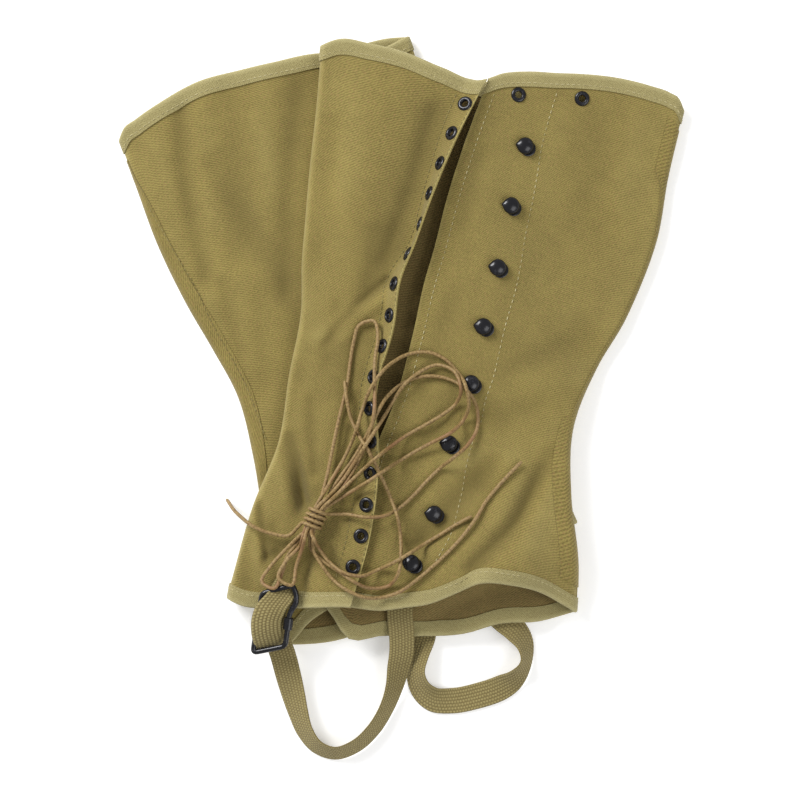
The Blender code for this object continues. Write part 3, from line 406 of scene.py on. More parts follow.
TAIL_BACK = [
    (310, 543), (317, 554), (329, 563), (345, 573), (361, 583), (376, 587), (389, 584), (397, 575),
    (400, 562), (401, 549), (400, 531), (397, 514), (391, 498), (384, 481), (376, 464), (367, 447),
    (357, 431), (352, 420), (348, 404), (345, 381),
]
TAIL_LONG = [
    (521, 461), (512, 470), (499, 484), (487, 498), (474, 519), (452, 546), (431, 566), (410, 583),
    (393, 593), (376, 596), (361, 594), (345, 586), (331, 575), (320, 559), (313, 543),
]
TAIL_SHORT = [
    (317, 542), (326, 556), (337, 566), (348, 572), (360, 574), (374, 570), (391, 562), (410, 551),
    (439, 534), (458, 522), (471, 515),
]
# The knot: lace one winds round both laces where they are drawn together
KNOT = (316, 517)
KNOT_AXIS = (0.435, 0.900)
KNOT_RADIUS = 5.5
KNOT_TURN = -1260.0
KNOT_HALF = 5.4
KNOT_POINTS = 32
KNOT_REACH = 7.5
# Strands drawn through the knot: how far aside, which level of the bundle, and which way
PASSES_ONE = [Pass(1.3, -1, False), Pass(-1.3, -1, True), Pass(0.0, 0, False)]
PASSES_TWO = [Pass(2.6, 0, True), Pass(-2.6, 0, False), Pass(-1.3, 1, True), Pass(1.3, 1, False)]
LEVEL = 2.5
# How near to the knot, as a share of a stretch, a lace's height is still the knot's own
NEAR_KNOT = 0.4
LACE_STEP = 11.0
LACE_OFF_CLOTH = 0.9
LACE_OVER_TAPE = 1.5
LACE_OVER_EYELETS = 1.4
HOOK_CLEAR_REACH = 8.0
HOOK_TOP_CLEAR = 0.4
# Where a lace starts to rise: before the hem's tape, before the turned up edge and over its
# eyelets, how far it takes to come down past them, and how far the knot lifts it
TAPE_RISE_FROM = 6.0
TAPE_RISE_RUN = 4.0
EDGE_RISE_FROM = 9.0
EDGE_RISE_RUN = 8.0
EYELETS_REACH = 16
EDGE_FALL_RUN = 12.0
SIDE_FALL_RUN = 20.0
KNOT_LIFT_FROM = 8.0
KNOT_LIFT_RUN = 14.0
# Where each stretch of a lace is looked at for what it crosses
STRETCH_MARGIN = 0.1
STRETCH_LOOKS = 9


# Cuts of the sheets, in millimetres
UPPER_EYELET_CUT = (287.0, 334.0)
UPPER_HOOK_CUT = (132.0, 323.0)
LOWER_EYELET_CUT = (257.0, 317.0)
LOWER_HOOK_CUT = (101.0, 334.0)
UPPER_TAPE_CUT = (21.0, 464.0)
LOWER_TAPE_CUT = (21.0, 382.0)
UPPER_SEAM_CUT = (10.0, 292.0)
LOWER_SEAM_CUT = (10.0, 297.0)
UPPER_STRAP_CUT = 259.0
LOWER_STRAP_CUT = 200.0
LACE_ONE_LENGTH = 1.078
LACE_TWO_LENGTH = 1.056

# The canvas's unevenness, and finer creases than the solids have
RUMPLE = 0.16
UPPER_WRINKLES = [
    Crease(437, 106, 413, 190, -1.7, 7),
    Crease(413, 190, 384, 268, -1.9, 7),
    Crease(392, 278, 358, 306, -1.6, 3.2),
    Crease(358, 306, 322, 348, -1.3, 3.6),
    Crease(382, 300, 340, 345, 0.7, 3),
    Crease(377, 225, 366, 300, -0.9, 6),
    Crease(332, 110, 312, 270, -0.9, 8),
    Crease(352, 60, 345, 200, 0.8, 12),
    Crease(287, 430, 297, 458, -2.0, 3.2),
    Crease(297, 458, 305, 508, -2.6, 3.2),
    Crease(274, 432, 288, 500, 0.7, 4),
    Crease(257, 500, 268, 560, -4.6, 2.8),
    Crease(272, 520, 282, 585, -1.5, 4),
    Crease(240, 520, 246, 592, -2.6, 5),
    Crease(298, 470, 308, 508, -1.4, 6),
    Crease(254, 480, 262, 585, 0.8, 4),
    Crease(316, 478, 310, 395, -1.2, 4),
    Crease(336, 500, 352, 425, -1.3, 3),
    Crease(300, 498, 270, 415, -1.0, 4),
    Crease(346, 520, 370, 476, -1.4, 3),
    Crease(300, 540, 262, 562, -1.2, 3.5),
    Crease(313, 548, 302, 592, -1.6, 3),
    Crease(330, 545, 340, 580, -1.2, 3),
    Crease(300, 360, 284, 420, -0.9, 5),
    Crease(340, 300, 326, 372, -0.8, 5),
    Crease(556, 446, 545, 466, -2.0, 5),
    Crease(545, 466, 513, 525, -3.2, 5.0),
    Crease(513, 525, 466, 573, -2.9, 5.5),
    Crease(576, 470, 524, 552, 1.6, 9),
    Crease(530, 470, 480, 545, 0.7, 6),
    Crease(600, 110, 585, 240, -0.8, 13),
    Crease(640, 120, 622, 210, 0.7, 10),
    Crease(560, 110, 545, 200, 0.5, 8),
    Crease(600, 335, 500, 376, -1.0, 8),
    Crease(585, 395, 500, 418, -0.9, 7),
    Crease(480, 150, 462, 230, -0.8, 6),
    Crease(458, 290, 425, 385, -0.8, 7),
    Crease(450, 400, 412, 470, -0.9, 6),
    Crease(400, 500, 430, 545, -0.9, 5),
]
LOWER_WRINKLES = [
    Crease(180, 105, 186, 190, -1.9, 6),
    Crease(186, 190, 207, 285, -1.9, 6),
    Crease(300, 75, 292, 160, -1.7, 8),
    Crease(292, 160, 284, 300, -1.5, 7),
    Crease(236, 95, 246, 260, -1.0, 11),
    Crease(262, 85, 268, 240, 0.7, 9),
    Crease(205, 115, 218, 230, 0.7, 9),
    Crease(150, 135, 196, 240, 0.5, 5),
    Crease(222, 280, 250, 400, -1.0, 5),
    Crease(262, 290, 262, 400, -0.8, 7),
]
LOWER_GRAIN = -36.0
UPPER_GRAIN = 34.0

# Sewn lines, in pixels of the photograph's frame
FACING_LINE = [
    (557, 92), (550, 115), (542, 145), (537, 175), (532, 202), (525, 235), (520, 265), (515, 290), (505, 325),
    (497, 360), (492, 380), (485, 400), (481, 420), (474, 436), (466, 464), (462, 488), (458, 508),
    (452, 530),
    (444, 546), (432, 566),
]
ANKLE_LINE = [(557, 486), (558, 510), (558, 538), (561, 567)]
ANKLE_LINE_OUTER = [(566, 486), (567, 510), (567.5, 535), (570, 565)]
LOWER_SEAM_LINE = [
    (148, 208), (155, 219), (163, 232), (172, 248), (181, 263), (191, 280), (200, 297), (207, 313),
    (216, 331),
    (228, 352), (240, 374), (250, 396), (259, 420), (266, 440),
]

# The camera looks straight down through a long lens, onto the photograph's frame
FRAME_SIDE = 800 * PIXEL
LENS = 150.0
SENSOR = 36.0
SIGHT_HEIGHT = 12.0

# The webbing's weave: how wide each column of threads is, and how long each pick
WEBBING_CELL = 1.95
WEBBING_PICK = 1.7

# Holes for the eyelets
HOLE_CLEAR = 0.5
HOLE_SIDES = 20
HOLE_DEPTH = 5.0

# Stitches: how far out a row lies on canvas and on the seam's strip, how far the tape's row
# is from the tape's inner edge, and how deep it sinks into the tape
ON_CANVAS = WALL / 2 + 0.02
ON_STRIP = WALL / 2 + 0.6
TAPE_ROW_INSET = 2.3
TAPE_ROW_SINK = 0.2
ROW_POINTS = 420
LINE_POINTS = 260

# The calf seam's strip: how far its columns reach, from the fold's top towards the seam
UPPER_STRIP_TURN = (-0.15, 1.08)
LOWER_STRIP_TURN = (0.15, 1.0)
STRIP_COLUMNS = 10

# Edges sharper than these, in degrees, stay sharp on large and on small pieces
SHARP_EDGE = 55.0
SMALL_SHARP_EDGE = 40.0

# Resolution of the cloth pieces
UPPER_ROWS = 190
LOWER_ROWS = 130
TAPE_BEND = 6


class Layer(Enum):
    """The layers of a gaiter that show, as the whole part of the place round the ring."""

    FLAP = 0
    BACK = 2
    HOOK = 4


class Side(Enum):
    """Which edge of a gaiter a tape binds."""

    TOP = 0
    HEM = 1


class Weave(Enum):
    """How a cloth's threads cross."""

    CANVAS = 0
    TAPE = 1
    BASKET = 2


def ease(t: Any) -> Array:
    """A smooth step from 0 to 1."""
    t = np.clip(t, 0.0, 1.0)
    return t * t * (3 - 2 * t)


def curve_through(xs: Any, ys: Any, at: Any) -> Array:
    """A cubic through a short table, level past its ends.

    Args:
        xs: the places of the table's values, rising.
        ys: the values.
        at: where to read the curve.

    Returns:
        The curve's values at those places.
    """
    xs = np.asarray(xs, float)
    ys = np.asarray(ys, float)
    slope = np.gradient(ys, xs)
    at = np.clip(at, xs[0], xs[-1])
    i = np.clip(np.searchsorted(xs, at) - 1, 0, len(xs) - 2)
    run = xs[i + 1] - xs[i]
    t = (at - xs[i]) / run
    return (
        (2 * t**3 - 3 * t**2 + 1) * ys[i]
        + (t**3 - 2 * t**2 + t) * run * slope[i]
        + (3 * t**2 - 2 * t**3) * ys[i + 1]
        + (t**3 - t**2) * run * slope[i + 1]
    )


def column(table: Sequence[Any], name: str, at: Any) -> Array:
    """One named column of a table, read at places along its first column."""
    first = table[0]._fields[0]
    return curve_through([getattr(row, first) for row in table], [getattr(row, name) for row in table], at)


def off_folds(share: Array) -> Array:
    """1 over most of a layer, easing to 0 at its two folds."""
    return ease(FOLD_STEEP * share) * ease(FOLD_STEEP * (1 - share))


def crease(fold: Fold, across: Array, down: Array) -> Array:
    """The height that a trough or ridge adds, fading at its ends."""
    run = np.array([fold.to_across - fold.across, fold.to_down - fold.down], float)
    length = np.linalg.norm(run)
    run = run / length
    along = (across - fold.across) * run[0] + (down - fold.down) * run[1]
    aside = (across - fold.across) * run[1] - (down - fold.down) * run[0]
    fade = 1.0
    for inside in (along + fold.width, length + fold.width - along):
        fade = fade * ease(inside / (2 * fold.width))
    return fold.height * np.exp(-((aside / fold.width) ** 2)) * fade


def on_surface(pixel: Sequence[float]) -> tuple[float, float]:
    """Millimetres for a point of the photograph's frame."""
    return ((pixel[0] - FRAME_MIDDLE[0]) * PIXEL, (FRAME_MIDDLE[1] - pixel[1]) * PIXEL)


def read_along(rows: Array, reach: Array, at: Array, smooth: bool = False) -> Array:
    """Each column of a line's rows, read at distances along it.

    Args:
        rows: a row of values for each point of the line.
        reach: each point's distance along it.
        at: the distances to read at.
        smooth: whether a curve goes through the points, or straight lines.

    Returns:
        A row of values for each distance.
    """
    if smooth:
        return np.stack([curve_through(reach, values, at) for values in rows.T], axis=1)
    return np.stack([np.interp(at, reach, values) for values in rows.T], axis=1)


def unit(vectors: Array) -> Array:
    """The same directions, one long."""
    return vectors / np.maximum(np.linalg.norm(vectors, axis=-1, keepdims=True), 1e-12)


def reach_along(points: Array) -> Array:
    """Each point's distance along a line of points."""
    return np.array([0.0, *np.cumsum(np.linalg.norm(np.diff(points, axis=0), axis=1))])


@dataclass
class Gaiter:
    """One gaiter as a surface: the middle of its canvas wall, in millimetres."""

    name: str
    middle: tuple[float, float]
    turn: float
    side: int
    open_up: bool
    sections: list[Section]
    open_edge: list[Edge]
    closed_edge: list[Edge]
    folds: list[Fold]
    bumps: list[Bump]
    creases: list[Crease]
    under: "Gaiter | None" = None
    seed: int = 3

    def __post_init__(self) -> None:
        """Works out the turn, and the waves of the worn canvas."""
        self.cos = math.cos(math.radians(self.turn))
        self.sin = math.sin(math.radians(self.turn))
        draw = np.random.default_rng(self.seed)
        self.waves = [
            (draw.uniform(16, 60), draw.uniform(0, math.pi), draw.uniform(0, 2 * math.pi)) for _ in range(12)
        ]
        self.wrinkles = []
        for row in self.creases:
            (down, across), (to_down, to_across) = self.pixel_line([row[:2], row[2:4]])
            height = row.height * (TROUGH_DEPTH if row.height < 0 else 1.0)
            self.wrinkles.append(Fold(across, down, to_across, to_down, height, row.width))

    def world(self, across: Array, down: Array) -> tuple[Array, Array]:
        """The world's place of a place on the gaiter."""
        x = self.middle[0] + across * self.cos - down * self.sin
        y = self.middle[1] - across * self.sin - down * self.cos
        return x, y

    def local(self, x: Array, y: Array) -> tuple[Array, Array]:
        """Across and down for a place in the world."""
        dx = x - self.middle[0]
        dy = y - self.middle[1]
        return dx * self.cos - dy * self.sin, -dx * self.sin - dy * self.cos

    def row(self, name: str, down: Array) -> Array:
        """One size of the sections, at a distance down."""
        return column(self.sections, name, down)

    def share(self, across: Array, down: Array) -> Array:
        """0 at the far fold and 1 at the seam fold."""
        far = self.row("far", down)
        return np.clip((across - far) / (self.row("seam", down) - far), 0.0, 1.0)

    def bed(self, x: Array, y: Array, run: float) -> Array:
        """The height of what lies under this gaiter, easing to the surface past its edge."""
        if self.under is None:
            return 0.0 * x
        lower = self.under
        across, down = lower.local(x, y)
        top = column(lower.open_edge, "top", 0.5)
        bottom = column(lower.open_edge, "bottom", 0.6)
        inside_down = np.clip(down, top, bottom)
        far = lower.row("far", inside_down)
        seam = lower.row("seam", inside_down)
        low = np.minimum(far, seam)
        high = np.maximum(far, seam)
        inside_across = np.clip(across, low, high)
        share = lower.share(inside_across, inside_down)
        hem = (1 - share) * lower.open_edge[0].bottom + share * lower.open_edge[-1].bottom
        hem = hem + HEM_BOW * share * (1 - share)
        beyond = np.maximum(np.maximum(low - across, across - high), np.maximum(top - down, down - hem))
        height = lower.roof(inside_across, inside_down) + WALL / 2 + BED_CLEARANCE
        height = height * (1 - ease((beyond - 1.0) / run))
        for prop in PROPS:
            away = np.hypot(x - prop.x, y - prop.y)
            fall = ease((away - prop.reach) / (prop.run + run - BED_RUN))
            height = np.maximum(height, prop.height * (1 - fall))
        return height

    def floor(self, across: Array, down: Array) -> Array:
        """The height of the lower layer."""
        x, y = self.world(across, down)
        share = self.share(across, down)
        edge = self.closed_edge if self.open_up else self.open_edge
        from_edge = np.minimum(down - column(edge, "top", share), column(edge, "bottom", share) - down)
        step = TAPE_STEP * (1 - ease((from_edge - TAPE_WIDTH - 1) / STEP_RUN))
        return WALL / 2 + SURFACE_GAP + self.bed(x, y, BED_RUN) + step

    def roof(self, across: Array, down: Array) -> Array:
        """The height of the upper layer, with its main folds."""
        x, y = self.world(across, down)
        share = self.share(across, down)
        gap = (1 - share) * self.row("far_gap", down) + share * self.row("seam_gap", down)
        crown = self.row("crown", down) * 4 * share * (1 - share)
        inside = off_folds(share)
        height = WALL / 2 + TAPE_STEP + self.bed(x, y, SOFT_BED_RUN) + gap + crown
        for fold in self.folds:
            height = height + inside * crease(fold, across, down)
        for bump in self.bumps:
            aside = (across - bump.across) / bump.across_reach
            beyond = (down - bump.down) / bump.down_reach
            height = height + inside * bump.height * np.exp(-(aside**2 + beyond**2))
        return height

    def rumple(self, across: Array, down: Array) -> Array:
        """The small unevenness of worn canvas, never below the smooth form by much."""
        total = 0.0 * across
        for length, heading, phase in self.waves:
            along = across * math.cos(heading) + down * math.sin(heading)
            total = total + np.sin(2 * math.pi * along / length + phase) * length / 60.0
        return total * RUMPLE

    def turned_up(self, along: Array, down: Array) -> tuple[Array, Array]:
        """Plan distance and height of the eyelet edge's strip, at a distance along it."""
        angle = np.radians(np.maximum(self.row("turn_up", down), 1.0))
        bend = TURN_BEND / angle
        flat = np.minimum(along, TURN_FLAT)
        round_the_bend = np.maximum(along - TURN_FLAT, 0.0) / bend
        plan = flat * np.cos(angle) + bend * (np.sin(angle) - np.sin(angle - round_the_bend))
        fall = flat * np.sin(angle) + bend * (np.cos(angle - round_the_bend) - np.cos(angle))
        whole = TURN_FLAT * np.sin(angle) + bend * (1 - np.cos(angle))
        return plan, whole - fall

    def place(self, around: Any, down_share: Any) -> Array:
        """World points of the surface.

        Args:
            around: 0 at the eyelet edge, 1 and 2 about the far fold, 3 and 4 about the seam
                fold, and 5 at the hook edge.
            down_share: 0 at the top and 1 at the hem.

        Returns:
            Points, with the last axis x, y and z.
        """
        around = np.asarray(around, float)
        down_share = np.asarray(down_share, float)
        down = down_share * NOMINAL_LENGTH + 0 * around
        for _ in range(PLACE_ROUNDS):
            across, open_share, lift = self.section(around, down)
            share = self.share(across, down)
            top, bottom = (
                open_share * column(self.open_edge, end, share)
                + (1 - open_share) * column(self.closed_edge, end, share)
                for end in ("top", "bottom")
            )
            down = top + down_share * (bottom - top)
        up_share = open_share if self.open_up else 1 - open_share
        low = self.floor(across, down)
        high = self.roof(across, down) + self.rumple(across, down)
        inside = off_folds(share)
        for fold in self.wrinkles:
            high = high + inside * crease(fold, across, down)
        x, y = self.world(across, down)
        return np.stack([x, y, low + up_share * (high - low) + lift], axis=-1)

    def fold_lines(self, down: Array) -> tuple[Array, Array]:
        """Across where the layers run into the far fold, and into the seam fold."""
        far_line = self.row("far", down) + self.side * self.row("far_gap", down) / 2
        seam_line = self.row("seam", down) - self.side * self.row("seam_gap", down) / 2
        return far_line, seam_line

    def section(self, around: Array, down: Array) -> tuple[Array, Array, Array]:
        """Across, the open layer's share and the extra height, for places round the ring."""
        side = self.side
        far_radius = self.row("far_gap", down) / 2
        seam_radius = self.row("seam_gap", down) / 2
        far_line, seam_line = self.fold_lines(down)
        stretch = np.clip(np.floor(around), 0, 4)
        t = around - stretch
        along = np.clip(t / TURN_SHARE, 0, 1) * (TURN_FLAT + TURN_BEND)
        plan, rise = self.turned_up(along, down)
        edge = self.row("flap", down) - side * plan
        flap_side = edge + np.clip((t - TURN_SHARE) / (1 - TURN_SHARE), 0, 1) * (far_line - edge)
        across = np.choose(
            stretch.astype(int),
            [
                flap_side,
                far_line - side * far_radius * np.sin(math.pi * t),
                far_line + t * (seam_line - far_line),
                seam_line + side * seam_radius * np.sin(math.pi * t),
                seam_line + t * (self.row("hook", down) - seam_line),
            ],
        )
        wave = np.cos(math.pi * t)
        open_share = np.choose(
            stretch.astype(int), [1 + 0 * t, (1 + wave) / 2, 0 * t, (1 - wave) / 2, 1 + 0 * t]
        )
        on_flap = stretch == 0
        lap = self.row("lap", down) * (1 - ease(LAP_FADE * (t - TURN_SHARE)))
        up = 1 if self.open_up else 0
        return across, open_share, up * np.where(on_flap, lap + rise, 0.0)

    def normal(self, around: Any, down_share: Any) -> Array:
        """The outward normal of the surface."""
        across = self.place(around + SLOPE, down_share) - self.place(around - SLOPE, down_share)
        down = self.place(around, down_share + SLOPE) - self.place(around, down_share - SLOPE)
        return unit(np.cross(across, down)) * (self.side if self.open_up else -self.side)

    def moved(self, around: Any, down_share: Any, out: Any, beyond: float = 0.0) -> Array:
        """Points of the surface moved out, and on past the edge along the cloth."""
        down = unit(self.place(around, down_share + SLOPE) - self.place(around, down_share - SLOPE))
        return self.place(around, down_share) + self.normal(around, down_share) * out + down * beyond

    def around_at(self, layer: Layer, across: Array, down: Array) -> Array:
        """The place round the ring of a place on one of the flat layers."""
        far_line, seam_line = self.fold_lines(down)
        if layer is Layer.BACK:
            return 2 + np.clip((across - far_line) / (seam_line - far_line), 0.001, 0.999)
        if layer is Layer.HOOK:
            return 4 + np.clip((across - seam_line) / (self.row("hook", down) - seam_line), 0.001, 1.0)
        plan, _ = self.turned_up(TURN_FLAT + TURN_BEND, down)
        edge = self.row("flap", down) - self.side * plan
        return TURN_SHARE + (1 - TURN_SHARE) * np.clip((across - edge) / (far_line - edge), 0.0, 0.999)

    def down_share_at(self, around: Array, down: Array) -> Array:
        """The share of the length at which places round the ring lie this far down."""
        low = np.zeros_like(around)
        high = np.ones_like(around)
        for _ in range(HALVINGS):
            middle = (low + high) / 2
            points = self.place(around, middle)
            above = self.local(points[..., 0], points[..., 1])[1] < down
            low = np.where(above, middle, low)
            high = np.where(above, high, middle)
        return (low + high) / 2

    def line_on(self, layer: Layer, places: Sequence[tuple[float, float]], count: int) -> tuple[Array, Array]:
        """Places round and down along a smooth line through (down, across) points."""
        table = np.array(places, float)
        at = np.linspace(0, len(table) - 1, count)
        down, across = read_along(table, np.arange(len(table)), at, True).T
        around = self.around_at(layer, across, down)
        return around, self.down_share_at(around, down)

    def pixel_line(self, pixels: Sequence[tuple[float, float]]) -> list[tuple[float, float]]:
        """(down, across) for a line of points of the photograph's frame."""
        found = []
        for pixel in pixels:
            across, down = self.local(*map(np.float64, on_surface(pixel)))
            found.append((float(down), float(across)))
        return found


class LaceBed:
    """The height that a lace lies at, over the cloth, the hooks and the laces already laid."""

    def __init__(self, gaiter: Gaiter) -> None:
        """Starts with the hooks and the buckle's top bar."""
        self.gaiter = gaiter
        self.hooks = [gaiter.world(across, down) for down, across in HOOK_ROW]
        self.hook_tops = [
            gaiter.roof(across, down) + WALL / 2 + HOOK_TALL + HOOK_TOP_CLEAR for down, across in HOOK_ROW
        ]
        self.knot = np.array(on_surface(KNOT))
        self.knot_floor = float(self.cloth(self.knot[0], self.knot[1]))
        start, end = np.array(UPPER_BUCKLE[:2])
        self.laid = start + (end - start) * np.linspace(0, 1, 25)[:, None]
        self.laid[:, 2] += (BUCKLE_WIRE - LACE) / 2

    def cloth(self, x: float, y: float) -> Array:
        """The top of the upper gaiter's cloth, and the slope off its side to the surface."""
        gaiter = self.gaiter
        across, down = gaiter.local(x, y)
        far = gaiter.row("far", down)
        inside = np.clip(across, far, gaiter.row("seam", down))
        height = gaiter.roof(inside, down) + WALL / 2 + LACE_OFF_CLOTH
        hem = column(gaiter.open_edge, "bottom", gaiter.share(inside, down)) - TAPE_WIDTH
        height = height + LACE_OVER_TAPE * ease((down - hem + TAPE_RISE_FROM) / TAPE_RISE_RUN)
        plan, _ = gaiter.turned_up(TURN_FLAT + TURN_BEND, down)
        _, whole = gaiter.turned_up(0.0, down)
        off_edge = (gaiter.row("flap", down) - across) * gaiter.side
        share = np.where(off_edge > 0, 1 - off_edge / plan, 1 + off_edge / EDGE_FALL_RUN)
        height = height + np.clip(share, 0, 1) * whole
        on_flap = ease((off_edge + EDGE_RISE_FROM) / EDGE_RISE_RUN)
        over_eyelets = LACE_OVER_EYELETS * (off_edge < EYELETS_REACH)
        height = height + on_flap * (gaiter.row("lap", down) + over_eyelets)
        beyond = np.maximum(far - across, 0.0)
        return np.maximum(height * (1 - ease(beyond / SIDE_FALL_RUN)), GAP)

    def need(self, x: float, y: float) -> float:
        """The least height of a lace's middle at a place."""
        height = float(self.cloth(x, y)) + LACE / 2
        for (hook_x, hook_y), top in zip(self.hooks, self.hook_tops):
            if math.hypot(x - hook_x, y - hook_y) < HOOK_CLEAR_REACH:
                height = max(height, float(top) + LACE / 2 + LACE_CLEAR)
        from_knot = math.hypot(x - self.knot[0], y - self.knot[1])
        near = 1 - ease((from_knot - KNOT_LIFT_FROM) / KNOT_LIFT_RUN)
        lifted = self.knot_floor + LACE / 2 + KNOT_RADIUS - LEVEL
        height = max(height, near * lifted + (1 - near) * height)
        apart = np.hypot(self.laid[:, 0] - x, self.laid[:, 1] - y)
        pile = LACE + LACE_CLEAR
        close = apart < pile
        if close.any():
            height = max(height, float((self.laid[close, 2] + np.sqrt(pile**2 - apart[close] ** 2)).max()))
        return height

    def lay(self, plan: list[tuple[float, float]], fixed: dict[int, float]) -> list[Point]:
        """Lays a lace along plan points, each stretch clear of what it crosses.

        Args:
            plan: places of the lace, in order.
            fixed: heights that are kept, by the place's number.

        Returns:
            The lace's points.
        """
        heights: list[float] = []
        for k, (x, y) in enumerate(plan):
            heights.append(fixed[k] if k in fixed else self.need(x, y))
            if k >= 3:
                self.settle(plan, heights, fixed, k - 2)
            if k == 0 or (k in fixed and k - 1 in fixed):
                continue
            first = NEAR_KNOT if k - 1 in fixed else STRETCH_MARGIN
            last = 1 - (NEAR_KNOT if k in fixed else STRETCH_MARGIN)
            for t in np.linspace(first, last, STRETCH_LOOKS):
                before = plan[k - 1]
                spot = (before[0] + (x - before[0]) * t, before[1] + (y - before[1]) * t)
                short = self.need(*spot) - ((1 - t) * heights[k - 1] + t * heights[k])
                if short <= 0:
                    continue
                before_share = 0 if k - 1 in fixed else 1 - t
                after_share = 0 if k in fixed else t
                spread = before_share**2 + after_share**2
                heights[k - 1] += short * before_share / spread
                heights[k] += short * after_share / spread
        for k in (len(plan) - 2, len(plan) - 1):
            self.settle(plan, heights, fixed, k)
        return [(x, y, z) for (x, y), z in zip(plan, heights)]

    def settle(self, plan: list, heights: list[float], fixed: dict[int, float], k: int) -> None:
        """Makes the stretch that ends at a point something for later stretches to lie on."""
        if k in fixed and k - 1 in fixed:
            return
        before = np.array([*plan[k - 1], heights[k - 1]])
        after = np.array([*plan[k], heights[k]])
        shares = np.linspace(0, 1, 13)[:, None]
        self.laid = np.vstack([self.laid, before + (after - before) * shares])

    def through_knot(self, strand: Pass) -> list[Point]:
        """The stretch of a lace drawn through the knot, at its own place in the bundle."""
        axis = np.array(KNOT_AXIS)
        aside = np.array([axis[1], -axis[0]])
        height = self.knot_floor + LACE / 2 + KNOT_RADIUS + LEVEL * strand.level
        points = []
        for along in (-KNOT_REACH, 0.0, KNOT_REACH):
            plan = self.knot + aside * strand.aside + axis * along
            points.append((plan[0], plan[1], height))
        return points if strand.upwards else points[::-1]

    def knot_turns(self) -> list[Point]:
        """The winding turns, rising from the cloth at one side and coming down at the other."""
        axis = np.array(KNOT_AXIS)
        aside = np.array([axis[1], -axis[0]])
        height = self.knot_floor + LACE / 2 + KNOT_RADIUS
        turns = []
        for t in np.linspace(0, 1, KNOT_POINTS):
            angle = math.radians(180 + KNOT_TURN * t)
            along = KNOT_HALF * (2 * t - 1)
            plan = self.knot + axis * along + aside * KNOT_RADIUS * math.cos(angle)
            turns.append((plan[0], plan[1], height + KNOT_RADIUS * math.sin(angle)))
        return turns

    def bundled(self, stretches: list) -> list[Point]:
        """Lays a lace whose free stretches, in pixels, alternate with those held in the knot."""
        plan: list[tuple[float, float]] = []
        fixed: dict[int, float] = {}
        for k, stretch in enumerate(stretches):
            if k % 2:
                for x, y, z in stretch:
                    fixed[len(plan)] = z
                    plan.append((x, y))
                continue
            before = [stretches[k - 1][-1][:2]] if k else []
            after = [stretches[k + 1][0][:2]] if k + 1 < len(stretches) else []
            points = spaced([*before, *[on_surface(pixel) for pixel in stretch], *after], LACE_STEP)
            if k:
                points = np.insert(points, 1, (points[0] + points[1]) / 2, axis=0)
            if after:
                points = np.insert(points, -1, (points[-1] + points[-2]) / 2, axis=0)
            plan += [tuple(point) for point in points[len(before) : len(points) - len(after)]]
        return self.lay(plan, fixed)


def spaced(route: Sequence, step: float) -> Array:
    """Points a step apart along a smooth curve through a route's points."""
    points = np.array(route, float)
    reach = reach_along(points)
    fine = np.linspace(0, reach[-1], int(reach[-1] * 2))
    curve = read_along(points, reach, fine, True)
    length = reach_along(curve)
    at = np.linspace(0, length[-1], max(int(round(length[-1] / step)), 2) + 1)
    return read_along(curve, length, at)


# ---- shader and geometry graphs


class Socket:
    """An output of a node, whose operators add Math nodes."""

    def __init__(self, graph: "Graph", port: Any) -> None:
        """Keeps the graph and the output."""
        self.graph = graph
        self.port = port

    def math(self, operation: str, *others: Any) -> "Socket":
        """A Math node on this value and others."""
        values = dict(enumerate([self, *others]))
        return self.graph.node("ShaderNodeMath", {"operation": operation}, values)

    def __add__(self, other: Any) -> "Socket":
        """This value and another, added."""
        return self.math("ADD", other)

    __radd__ = __add__

    def __mul__(self, other: Any) -> "Socket":
        """This value times another."""
        return self.math("MULTIPLY", other)

    __rmul__ = __mul__

    def __sub__(self, other: Any) -> "Socket":
        """This value less another."""
        return self.math("SUBTRACT", other)

    def __rsub__(self, other: Any) -> "Socket":
        """Another value less this one."""
        return self.graph.node("ShaderNodeMath", {"operation": "SUBTRACT"}, {0: other, 1: self})

    def sine(self) -> "Socket":
        """The sine of this value, in radians."""
        return self.math("SINE")

    def between(self, low: float, high: float) -> "Socket":
        """0 below a value and 1 above another, smooth between."""
        values = {"Value": self, "From Min": low, "From Max": high}
        return self.graph.node("ShaderNodeMapRange", {"interpolation_type": "SMOOTHSTEP"}, values)


Value = Union[Socket, float, int, str, tuple, Any]


